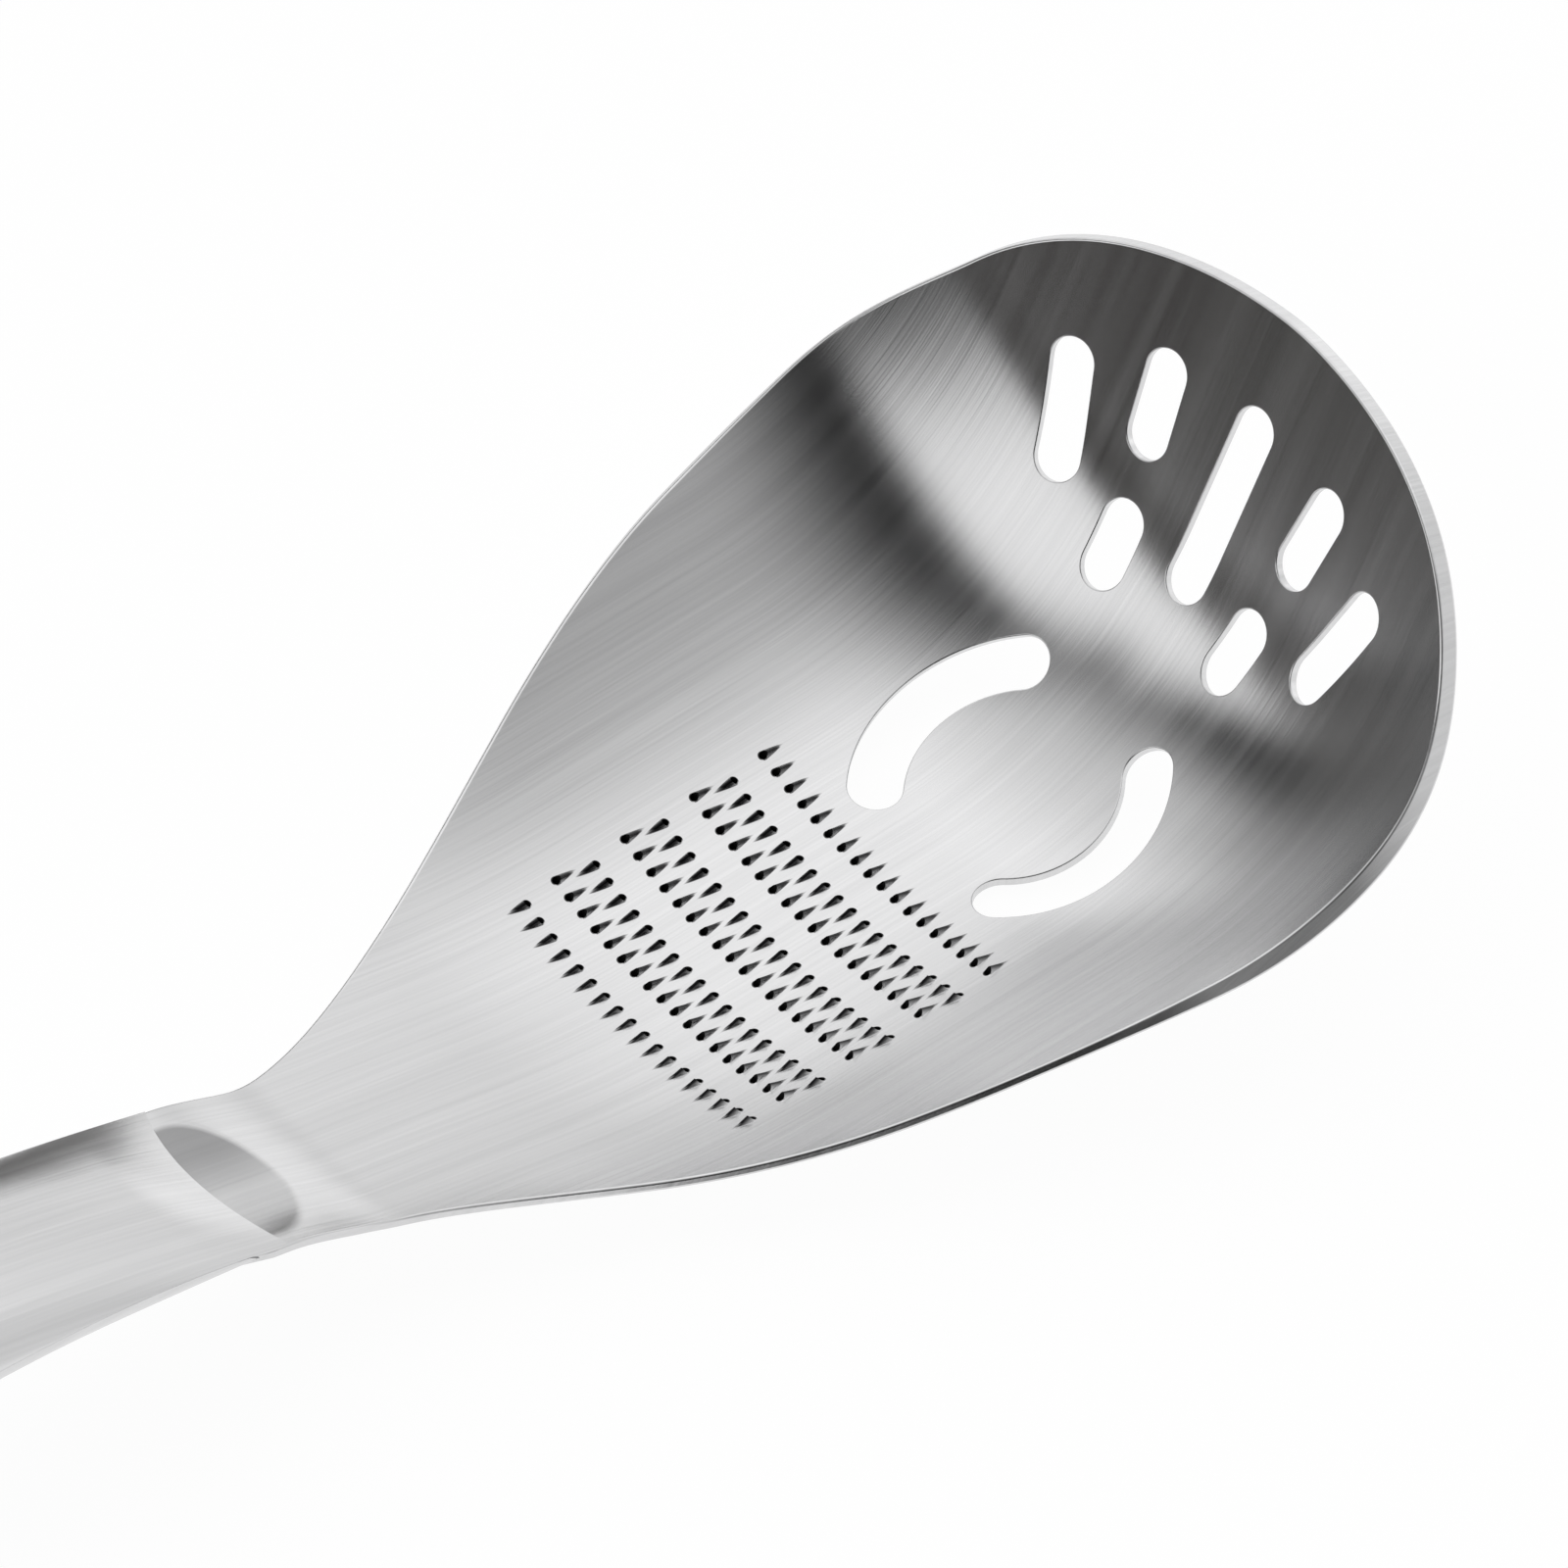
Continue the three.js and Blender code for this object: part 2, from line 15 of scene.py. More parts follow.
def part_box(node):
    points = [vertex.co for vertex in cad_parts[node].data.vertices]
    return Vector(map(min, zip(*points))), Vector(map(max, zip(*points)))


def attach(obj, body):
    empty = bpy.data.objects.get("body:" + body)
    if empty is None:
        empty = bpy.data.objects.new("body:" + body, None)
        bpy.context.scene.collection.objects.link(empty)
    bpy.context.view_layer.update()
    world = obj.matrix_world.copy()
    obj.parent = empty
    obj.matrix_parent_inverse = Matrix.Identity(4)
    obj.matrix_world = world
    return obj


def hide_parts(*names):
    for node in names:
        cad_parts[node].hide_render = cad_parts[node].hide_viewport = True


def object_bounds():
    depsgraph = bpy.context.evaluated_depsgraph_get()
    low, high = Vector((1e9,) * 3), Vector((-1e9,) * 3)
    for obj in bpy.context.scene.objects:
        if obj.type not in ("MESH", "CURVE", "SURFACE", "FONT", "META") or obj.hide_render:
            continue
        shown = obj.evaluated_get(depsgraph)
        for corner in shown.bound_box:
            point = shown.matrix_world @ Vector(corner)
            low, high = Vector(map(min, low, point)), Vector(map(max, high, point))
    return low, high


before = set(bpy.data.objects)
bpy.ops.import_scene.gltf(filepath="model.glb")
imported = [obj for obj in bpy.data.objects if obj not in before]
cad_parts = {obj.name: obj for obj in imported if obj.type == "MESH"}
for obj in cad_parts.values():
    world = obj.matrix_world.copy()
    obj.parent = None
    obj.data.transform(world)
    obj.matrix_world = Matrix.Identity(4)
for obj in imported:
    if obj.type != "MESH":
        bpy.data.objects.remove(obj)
cad_low, cad_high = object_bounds()

RAD = math.pi / 180

# Head sheet
SHEET = 1.0
CROSS_RADIUS = 50.5
RAMP_LENGTH = 30
NECK_ANGLE = 14.5 * RAD
NECK_BEND_RADIUS = 105
FRONT_RADIUS = 39.5
WALL_ANGLE = 63 * RAD
WALL_LENGTH = 26.6
REST_STRIP = 5
HEAD_WIDTH = 90
WIDEST_AT = 15.8
FRONT_POWER = 2.3
NECK_WIDTH = 23.2
NECK_AT = 85
FLANK_NECK_PULL = 20
FLANK_WIDE_PULL = 41
RIM_HEM = 1.1
RIM_HEM_BAND = 2.6
RIM_HEM_FROM = -20
DIMPLE_AT = 95
DIMPLE_DEPTH = 0.85
DIMPLE_FRONT = 7.2
DIMPLE_BACK = 14
DIMPLE_WIDTH = 19
DIMPLE_POWER = 2.2
NECK_LIFT = 2.2
NECK_LIFT_LENGTH = 15

# Slots: along, across, length and lean
SLOT_WIDTH = 5.3
CENTRE_SLOT = (48.2, 0, 23.6, 0)
SIDE_SLOTS = [
    (42.4, 21.4, 15.5, 17.6 * RAD),
    (51.6, 12.1, 12.4, 7.9 * RAD),
    (36.2, 9.65, 10.0, 6 * RAD),
]
RING_AT = 10.6
RING_RADIUS = 14.15
RING_SLOT_WIDTH = 5.5
RING_HALF_SWEEP = 46 * RAD

# Grater
BANDS = 4
BAND_PITCH = 9.15
BAND_WIDTH = 4.4
GRATER_MIDDLE = -23.8
GRATER_LEAN = 0.033
TEETH_PER_LINE = 18
TOOTH_PITCH = 2.19
TOOTH_STAGGER = 0.33
TOOTH_LENGTH = 2.8
TOOTH_WIDTH = 1.1
TOOTH_HEIGHT = 0.75
TOOTH_HOLE = 0.42
TOOTH_PIT = 0.8

# Handle and its end
SHELL = 1.0
FIT = 0.3
NOSE_AT = 95
NOSE_COVER = 2
NOSE_LENGTH = 11
NOSE_SETBACK = 3.2
LAP_LENGTH = 9
SHOULDER_STEP = 0.2
NOSE_CROWN = 1.6
NOSE_LIP = 0.3
CROWN = 5.6
CROWN_LENGTH = 60
KEEL = 6.6
KEEL_LENGTH = 22
GRIP_WIDTH = 29
HANDLE_ANGLE = 19.5 * RAD
HANDLE_RADIUS = 215
TANG_WIDTH = 9
TANG_LENGTH = 24
END_LENGTH = 32
END_WIDTH = 18
END_THICKNESS = 4.4
COLLAR_LENGTH = 15
TAIL_HEIGHT = 3.5
TAIL_WIDTH = 20.5
HOLE_LENGTH = 12
HOLE_WIDTH = 7
HOLE_SET = 1
WIDEST_SHARE = 0.5
TAIL_SHARE = 0.45

# Fine sizes that only the looks have
SLOT_EDGE = 0.16
RIM_EDGE = 0.3
SEAM = 0.02
TOOTH_TAIL_POWER = 0.7
TOOTH_RIDGE_POWER = 1.2
SEAM_CLOSES = (1.5, 6)
END_ROUND = 0.9
EYE_SQUARE = 2.2

# Height over the middle of the eye and widening there, along the hanging hole
HOLE_FLARE = ((-4, 1.6), (-2.2, 0.35), (-1.85, 0), (1.85, 0), (2.2, 0.35), (4, 1.6))

# Painted shade, a darker base colour: beside the teeth, and in the neck's hollow, where it grows across the
# hollow
PAINTED_SHADE_BACK = 1.0
PAINTED_SHADE_FRONT = 0.92
PAINTED_SHADE_SIDE = (-0.45, -0.15)
PAINTED_SHADE_TAIL = (0.0, 0.4)
HOLLOW_SHADE_NEAR = 0.08
HOLLOW_SHADE_FAR = 0.42
HOLLOW_SHADE_GROWS = (-3, 6)

# Spacing of the mesh
GRID = 1.1
GRID_ROW = 0.87 * GRID
GRID_CLEAR = 0.55 * GRID
RIM_STEP = 0.7
SLOT_STEP = 0.35
RING_SLOT_STEP = 0.4
HOLLOW_RINGS = (0.84, 0.93, 1.0, 1.07)
HOLLOW_STEPS = 110
OUTLINE_STEPS = 160
ROUND_STEPS = 25
RING_STEPS = 40
TOOTH_HEAD_STEPS = 11
TOOTH_TAIL_STATIONS = (0.12, 0.26, 0.42, 0.6, 0.8)
EDGE_STEPS = 6
SHELL_COLUMNS = 97
NOSE_ROWS = 40
SHELL_ROWS = 120
END_AROUND = 72

NECK_BEND_LENGTH = NECK_BEND_RADIUS * NECK_ANGLE
FRONT_BEND_LENGTH = FRONT_RADIUS * WALL_ANGLE
NECK_BEND_REACH = RAMP_LENGTH + NECK_BEND_RADIUS * math.sin(NECK_ANGLE)
FRONT_BEND_REACH = FRONT_RADIUS * math.sin(WALL_ANGLE)
TIP_AT = FRONT_BEND_REACH + WALL_LENGTH * math.cos(WALL_ANGLE)
EDGE_RISE = (NECK_WIDTH - REST_STRIP) ** 2 / 8 / CROSS_RADIUS + NECK_LIFT
SHOULDER = NOSE_AT + LAP_LENGTH
TANG_END = SHOULDER + TANG_LENGTH

# The drawing frame's place in the row frame, from the end of the tang and the underside of the floor
head_low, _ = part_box("spoon_head")
SHIFT = np.array([head_low[0] * 1000 + TANG_END + SHEET * math.sin(NECK_ANGLE), 0, SHEET])


def smoothstep(value, low, high):
    t = np.clip((np.asarray(value, float) - low) / (high - low), 0, 1)
    return t * t * (3 - 2 * t)


def unit(v):
    return v / np.maximum(np.linalg.norm(v, axis=-1, keepdims=True), 1e-12)


def profile(s):
    """Middle line of the sheet: x and z at a length along it."""
    s = np.asarray(s, float)
    front = np.clip(s, 0, FRONT_BEND_LENGTH) / FRONT_RADIUS
    wall = np.maximum(s - FRONT_BEND_LENGTH, 0)
    past = np.maximum(-s - RAMP_LENGTH, 0)
    turn = np.minimum(past / NECK_BEND_RADIUS, NECK_ANGLE)
    rest = np.maximum(past - NECK_BEND_LENGTH, 0)
    x = np.clip(s, -RAMP_LENGTH, 0) + FRONT_RADIUS * np.sin(front) + wall * math.cos(WALL_ANGLE)
    x = x - NECK_BEND_RADIUS * np.sin(turn) - rest * math.cos(NECK_ANGLE)
    z = FRONT_RADIUS * (1 - np.cos(front)) + wall * math.sin(WALL_ANGLE)
    z = z + NECK_BEND_RADIUS * (1 - np.cos(turn)) + rest * math.sin(NECK_ANGLE)
    return x, z


def along_at(x):
    """Length along the middle line at a given x."""
    x = np.asarray(x, float)
    front = FRONT_RADIUS * np.arcsin(np.clip(x, 0, FRONT_BEND_REACH) / FRONT_RADIUS)
    wall = np.maximum(x - FRONT_BEND_REACH, 0) / math.cos(WALL_ANGLE)
    neck = np.clip(-x - RAMP_LENGTH, 0, NECK_BEND_REACH - RAMP_LENGTH)
    rest = np.maximum(-x - NECK_BEND_REACH, 0) / math.cos(NECK_ANGLE)
    bend = NECK_BEND_RADIUS * np.arcsin(neck / NECK_BEND_RADIUS)
    return np.clip(x, -RAMP_LENGTH, 0) + front + wall - bend - rest


def hollow_level(x, y):
    """Nothing in the middle of the neck's hollow and 1 on its edge."""
    along = (x + DIMPLE_AT) / np.where(x > -DIMPLE_AT, DIMPLE_FRONT, DIMPLE_BACK)
    return along**2 + np.abs(y * 2 / DIMPLE_WIDTH) ** DIMPLE_POWER


def hollow_rings():
    """Points of the sheet along the edge of the neck's hollow."""
    angle = np.linspace(0, 2 * math.pi, HOLLOW_STEPS, endpoint=False)
    side = np.sign(np.sin(angle)) * np.abs(np.sin(angle)) ** (2 / DIMPLE_POWER) * DIMPLE_WIDTH / 2
    reach = np.where(np.cos(angle) > 0, DIMPLE_FRONT, DIMPLE_BACK) * np.cos(angle)
    rings = []
    for f in HOLLOW_RINGS:
        x = f * reach - DIMPLE_AT
        ring = np.stack([along_at(x), f * side], -1)
        rings.append(ring[x > -DIMPLE_AT - DIMPLE_BACK / 2])
    return np.vstack(rings)


def neck_form(x, y):
    """Lift of the neck towards the handle, less the hollow across it."""
    hollow = DIMPLE_DEPTH * np.maximum(1 - hollow_level(x, y), 0)
    return NECK_LIFT * (1 - smoothstep(x, -NOSE_AT, NECK_LIFT_LENGTH - NOSE_AT)) - hollow


def surface(s, y):
    """Upper face of the sheet."""
    s, y = np.broadcast_arrays(np.asarray(s, float), np.asarray(y, float))
    x, z = profile(s)
    off = np.maximum(np.abs(y) - REST_STRIP / 2, 0)
    return np.stack([x, y, z + off**2 / 2 / CROSS_RADIUS + neck_form(x, y)], -1)


def slopes(s, y, ds, dy):
    along = (surface(s + ds, y) - surface(s - ds, y)) / (2 * np.asarray(ds))[..., None]
    across = (surface(s, y + dy) - surface(s, y - dy)) / (2 * dy)
    return along, across


def normal(s, y):
    """Direction out of the upper face, evened out where the drawing joins a line to an arc."""
    s = np.asarray(s, float)
    neck_reach, more_on_floor, side_reach = 0.2, 3.3, 0.4
    reach = neck_reach + more_on_floor * smoothstep(s, -78, -66)
    along, across = slopes(s, np.asarray(y, float), reach, side_reach)
    return unit(np.cross(along, across))


def outline_points():
    """Half outline, x and half width, from the end of the tang to the tip."""
    half, neck, tang = HEAD_WIDTH / 2, NECK_WIDTH / 2, TANG_WIDTH / 2
    hidden = neck - SHELL - FIT
    points = [(-TANG_END, tang), (-SHOULDER - SHOULDER_STEP, tang)]
    points += [(-SHOULDER, hidden), (-NOSE_AT - NOSE_COVER, neck)]
    t = np.linspace(0, 1, OUTLINE_STEPS)
    x = (1 - t) ** 3 * -NECK_AT + 3 * t * (1 - t) ** 2 * (FLANK_NECK_PULL - NECK_AT)
    x = x + 3 * t**2 * (1 - t) * (WIDEST_AT - FLANK_WIDE_PULL) + t**3 * WIDEST_AT
    y = neck + (half - neck) * (3 * t**2 * (1 - t) + t**3)
    points += list(zip(x, y))
    angle = np.linspace(90, 0, OUTLINE_STEPS)[1:] * RAD
    c = np.clip(np.cos(angle), 0, 1) ** (2 / FRONT_POWER)
    points += list(zip(WIDEST_AT + (TIP_AT - WIDEST_AT) * c, half * np.sin(angle)))
    return np.array(points)


OUTLINE = outline_points()


def rim_distance(x, y):
    """Distance to the rim, measured over the sheet."""
    half = np.interp(x, OUTLINE[:, 0], OUTLINE[:, 1])
    reach, wide = TIP_AT - WIDEST_AT, HEAD_WIDTH / 2
    f = np.clip((x - WIDEST_AT) / reach, 1e-6, 1)
    level = 1 - f**FRONT_POWER - (y / wide) ** 2
    turn = np.arcsin(np.clip(x / FRONT_RADIUS, 0, math.sin(WALL_ANGLE)))
    forward = FRONT_POWER * f ** (FRONT_POWER - 1) * np.cos(turn) / reach
    return np.where(x <= WIDEST_AT, half - np.abs(y), level / np.hypot(forward, 2 * y / wide**2 + 1e-9))


def thickness(s, y):
    """Sheet with its thicker front rim."""
    x, _ = profile(s)
    near = smoothstep(1 - rim_distance(x, y) / RIM_HEM_BAND, 0, 1)
    return SHEET + RIM_HEM * smoothstep(x, RIM_HEM_FROM, WIDEST_AT) * near


def resample(loop, step):
    """Closed loop with even steps."""
    closed = np.vstack([loop, loop[:1]])
    length = np.concatenate([[0], np.cumsum(np.linalg.norm(np.diff(closed, axis=0), axis=1))])
    count = max(int(round(length[-1] / step)), 8)
    at = np.arange(count) * length[-1] / count
    return np.stack([np.interp(at, length, closed[:, k]) for k in range(2)], -1)


def loop_frame(loop):
    """Points of a loop on the sheet, directions out of the face and out of the metal."""
    p = surface(loop[:, 0], loop[:, 1])
    n = normal(loop[:, 0], loop[:, 1])
    t = np.roll(p, -1, 0) - np.roll(p, 1, 0)
    t = unit(t - (t * n).sum(-1, keepdims=True) * n)
    return p, n, np.cross(t, n)


def inset(loop, width):
    """The loop moved into the metal."""
    _, _, out = loop_frame(loop)
    h = 0.05
    along, across = slopes(loop[:, 0], loop[:, 1], h + 0 * loop[:, 0], h)
    step = np.linalg.pinv(np.stack([along, across], -1)) @ (-out * width)[..., None]
    return loop + step[..., 0]


def on_sheet(s0, y0, lean, points):
    """Points of the plane that touches the sheet at s0, y0, brought onto the sheet."""
    at = surface(s0, y0)
    h = 0.05
    u = unit(surface(s0 + h, y0) - surface(s0 - h, y0))
    v = unit(surface(s0, y0 + h) - surface(s0, y0 - h))
    n = unit(np.cross(u, v))
    v = np.cross(n, u)
    u = math.cos(lean) * u + math.sin(lean) * v
    v = np.cross(n, u)
    s = s0 + points[:, 0] * math.cos(lean) - points[:, 1] * math.sin(lean)
    y = y0 + points[:, 0] * math.sin(lean) + points[:, 1] * math.cos(lean)
    tries = 12
    for _ in range(tries):
        p = surface(s, y) - at
        fa, fb = p @ u - points[:, 0], p @ v - points[:, 1]
        along, across = slopes(s, y, h + 0 * s, h)
        a, b, c, d = along @ u, across @ u, along @ v, across @ v
        det = a * d - b * c
        s = s - (d * fa - b * fb) / det
        y = y - (a * fb - c * fa) / det
    return np.stack([s, y], -1)


def arc(cx, cy, r, start, end, steps):
    angle = np.linspace(start, end, steps)
    return np.stack([cx + r * np.cos(angle), cy + r * np.sin(angle)], -1)


def stadium(length, width):
    r = width / 2
    h = length / 2 - r
    quarter = math.pi / 2
    front = arc(h, 0, r, -quarter, quarter, ROUND_STEPS)
    return np.vstack([front, arc(-h, 0, r, quarter, 3 * quarter, ROUND_STEPS)])


def arc_slot(middle, grow):
    r = RING_SLOT_WIDTH / 2 + grow
    start, end = middle - RING_HALF_SWEEP, middle + RING_HALF_SWEEP
    far = RING_RADIUS * np.array([math.cos(end), math.sin(end)])
    near = RING_RADIUS * np.array([math.cos(start), math.sin(start)])
    return np.vstack([
        arc(0, 0, RING_RADIUS + r, start, end, RING_STEPS),
        arc(*far, r, end, end + math.pi, ROUND_STEPS),
        arc(0, 0, RING_RADIUS - r, end, start, RING_STEPS),
        arc(*near, r, start - math.pi, start, ROUND_STEPS),
    ])


def slot_loops():
    """Loops round the slots on the upper face, wider by the eased edge; out of the metal is into the slot."""
    loops = []
    grow = 2 * SLOT_EDGE
    slots = [CENTRE_SLOT]
    for along, across, length, lean in SIDE_SLOTS:
        slots += [(along, across, length, lean), (along, -across, length, -lean)]
    for along, across, length, lean in slots:
        shape = resample(stadium(length + grow, SLOT_WIDTH + grow), SLOT_STEP)
        loops.append(on_sheet(along, across, lean, shape[::-1]))
    for middle in (math.pi / 2, -math.pi / 2):
        shape = resample(arc_slot(middle, SLOT_EDGE), RING_SLOT_STEP)
        loops.append(on_sheet(RING_AT, 0, 0, shape[::-1]))
    return loops


def tooth_places():
    """Along, across and the way the tail runs, for each tooth."""
    places = []
    for band in range(BANDS):
        middle = GRATER_MIDDLE + (band - (BANDS - 1) / 2) * BAND_PITCH
        for away in (-1, 1):
            for i in range(TEETH_PER_LINE):
                across = (i - (TEETH_PER_LINE - 1) / 2) * TOOTH_PITCH + away * TOOTH_STAGGER
                places.append((middle + away * BAND_WIDTH / 2 + GRATER_LEAN * across, across, away))
    return places


def teardrop():
    """Foot of a tooth, round at 0 with a tail to TOOTH_LENGTH, and the round hole in it; along and across."""
    w = TOOTH_WIDTH / 2
    t = np.array(TOOTH_TAIL_STATIONS)
    lower = np.stack([t * TOOTH_LENGTH, -w * (1 - t) ** TOOTH_TAIL_POWER], -1)
    head = arc(0, 0, w, math.pi / 2, 1.5 * math.pi, TOOTH_HEAD_STEPS)
    foot = np.vstack([head, lower, [[TOOTH_LENGTH, 0]], lower[::-1] * [1, -1]])
    round_head = np.linspace(90, 270, TOOTH_HEAD_STEPS)
    angle = np.concatenate([round_head, 270 + 90 * t, [360], 90 * (1 - t[::-1])])
    hole = TOOTH_HOLE * np.stack([np.cos(angle * RAD), np.sin(angle * RAD)], -1)
    return foot, hole


def tooth_height(p):
    """Height of the raised metal over the sheet: a ridge that rises from the tail to the edge of the hole."""
    left = np.clip(1 - p[:, 0] / TOOTH_LENGTH, 0, 1)
    half = np.maximum(TOOTH_WIDTH / 2 * left, 1e-3)
    side = np.clip(1 - (p[:, 1] / half) ** 2, 0, 1)
    return TOOTH_HEIGHT * left**TOOTH_RIDGE_POWER * side * smoothstep(p[:, 0], -0.3, 0.35)


def inside(points, loop):
    """Which points lie in a closed loop."""
    hit = np.zeros(len(points), bool)
    a, b = loop, np.roll(loop, -1, 0)
    for (x0, y0), (x1, y1) in zip(a, b):
        crosses = (y0 > points[:, 1]) != (y1 > points[:, 1])
        if not crosses.any():
            continue
        x = x0 + (points[:, 1] - y0) * (x1 - x0) / (y1 - y0 + (y1 == y0))
        hit ^= crosses & (points[:, 0] < x)
    return hit


class Body:
    """Vertices, normals and faces collected for one mesh."""

    def __init__(self):
        self.points, self.normals, self.torn, self.faces, self.slots, self.count = [], [], [], [], [], 0

    def add(self, points, normals, torn=0.0):
        first = self.count
        self.points.append(points)
        self.normals.append(normals)
        self.torn.append(np.zeros(len(points)) + torn)
        self.count += len(points)
        return np.arange(first, self.count)

    def face(self, corners, slot=0):
        self.faces.append([int(c) for c in corners])
        self.slots.append(slot)

    def strip(self, a, b, slot=0, closed=True):
        """Quads between two rows of the same size."""
        for i in range(len(a) if closed else len(a) - 1):
            j = (i + 1) % len(a)
            self.face((a[i], a[j], b[j], b[i]), slot)


def make_object(name, points, faces, slots, materials, normals=None, sharp=None, torn=None):
    """Mesh object in the row frame, inside the box of the solids."""
    placed = (np.asarray(points) + SHIFT) / 1000
    placed = np.clip(placed, np.array(cad_low), np.array(cad_high))
    mesh = bpy.data.meshes.new(name)
    mesh.from_pydata(placed.tolist(), [], faces)
    mesh.polygons.foreach_set("material_index", np.asarray(slots, np.int32))
    mesh.polygons.foreach_set("use_smooth", np.ones(len(faces), bool))
    for material in materials:
        mesh.materials.append(material)
    if torn is not None:
        mesh.attributes.new("torn", "FLOAT", "POINT").data.foreach_set("value", torn)
    mesh.validate(clean_customdata=False)
    if sharp is not None:
        mesh.set_sharp_from_angle(angle=sharp)
    if normals is not None:
        mesh.normals_split_custom_set_from_vertices(normals.tolist())
    piece = bpy.data.objects.new(name, mesh)
    bpy.context.scene.collection.objects.link(piece)
    return piece


def head_body():
    """Sheet with its slots, rim and grater teeth as one closed skin."""
    half = np.vstack([OUTLINE, OUTLINE[-2::-1] * [1, -1]])
    rim = np.stack([along_at(half[:, 0]), -half[:, 1]], -1)
    rim = inset(resample(rim, RIM_STEP), RIM_EDGE)
    slots = slot_loops()
    drop, hole = teardrop()
    places = tooth_places()
    teeth = []
    for along, across, away in places:
        loop = np.stack([along + away * drop[:, 0], across + drop[:, 1]], -1)
        teeth.append(loop if away < 0 else loop[::-1])
    loops = [rim, *slots, *teeth]
    ends = np.cumsum([len(loop) for loop in loops])
    starts = ends - [len(loop) for loop in loops]
    fixed = np.vstack([*loops, hollow_rings()])
    tree = kdtree.KDTree(len(fixed))
    for i, (s, y) in enumerate(fixed):
        tree.insert((s, y, 0), i)
    tree.balance()
    rows = np.arange(rim[:, 0].min(), rim[:, 0].max(), GRID_ROW)
    reach = HEAD_WIDTH / 2 + 2
    grid = []
    for i, s in enumerate(rows):
        across = np.arange(-reach, reach, GRID) + (GRID / 2 if i % 2 else 0)
        grid.append(np.stack([s + 0 * across, across], -1))
    grid = np.vstack(grid)
    keep = inside(grid, rim)
    for loop in (*slots, *teeth):
        near = np.abs(grid - loop.mean(0)).max(-1) < np.abs(loop - loop.mean(0)).max() + 1
        keep[near] &= ~inside(grid[near], loop)
    grid = grid[keep]
    clear = [tree.find((s, y, 0))[2] > GRID_CLEAR for s, y in grid]
    flat = np.vstack([fixed, grid[np.array(clear)]])
    owner = np.full(len(flat), -1)
    edges = []
    for k, (a, b) in enumerate(zip(starts, ends)):
        owner[a:b] = k
        edges += [(i, i + 1 if i + 1 < b else a) for i in range(a, b)]
    corners, sides = [Vector(p) for p in flat.tolist()], [(int(a), int(b)) for a, b in edges]
    out = delaunay_2d_cdt(corners, sides, [], 0, 1e-7)
    if len(out[0]) != len(flat):
        raise RuntimeError("the sheet's loops cross one another")
    index = np.array([ids[0] for ids in out[3]])
    triangles = np.array([[index[v] for v in face] for face in out[2]])
    middle = flat[triangles].mean(1)
    one = owner[triangles]
    same = np.where((one[:, 0] == one[:, 1]) & (one[:, 1] == one[:, 2]), one[:, 0], -1)
    in_sheet = np.ones(len(triangles), bool)
    in_tooth = np.zeros(len(triangles), bool)
    for k, loop in enumerate(loops):
        mine = np.nonzero(same == k)[0]
        if not len(mine):
            continue
        hit = inside(middle[mine], loop)
        if k == 0:
            in_sheet[mine] = hit
        elif k <= len(slots):
            in_sheet[mine] = ~hit
        else:
            in_tooth[mine] = hit
    s, y = flat.T
    top, n = surface(s, y), normal(s, y)
    body = Body()
    # Painted shade in the neck's hollow: the base colour darkens across the hollow towards its far side
    in_hollow = 1 - smoothstep(hollow_level(top[:, 0], y), 0.86, 1)
    upper = body.add(top, n, (HOLLOW_SHADE_NEAR + HOLLOW_SHADE_FAR * smoothstep(y, *HOLLOW_SHADE_GROWS)) * in_hollow)
    lower = body.add(top - n * thickness(s, y)[:, None], -n)
    first, second, third = flat[triangles].transpose(1, 0, 2)
    area = np.cross(second - first, third - first)
    triangles[area < 0] = triangles[area < 0][:, ::-1]
    for t, on, tooth in zip(triangles, in_sheet, in_tooth):
        if on:
            body.face(lower[t[::-1]])
        if on and not tooth:
            body.face(upper[t])
    for k in range(len(slots) + 1):
        ids = np.arange(starts[k], ends[k])
        r = RIM_EDGE if k == 0 else SLOT_EDGE
        p, nn, b = loop_frame(flat[ids])
        depth = thickness(*flat[ids].T)[:, None]
        row = upper[ids]
        quarter = np.linspace(0, math.pi / 2, EDGE_STEPS)
        for angle in quarter[1:]:
            c, q = math.cos(angle), math.sin(angle)
            new = body.add(p + b * r * q - nn * r * (1 - c), nn * c + b * q)
            body.strip(new, row)
            row = new
        for angle in quarter[:-1]:
            c, q = math.cos(angle), math.sin(angle)
            new = body.add(p + b * r * c - nn * (depth - r + r * q), b * c - nn * q)
            body.strip(new, row)
            row = new
        body.strip(lower[ids], row)
    add_teeth(body, places, teeth, starts[len(slots) + 1 :], upper, drop, hole)
    return body


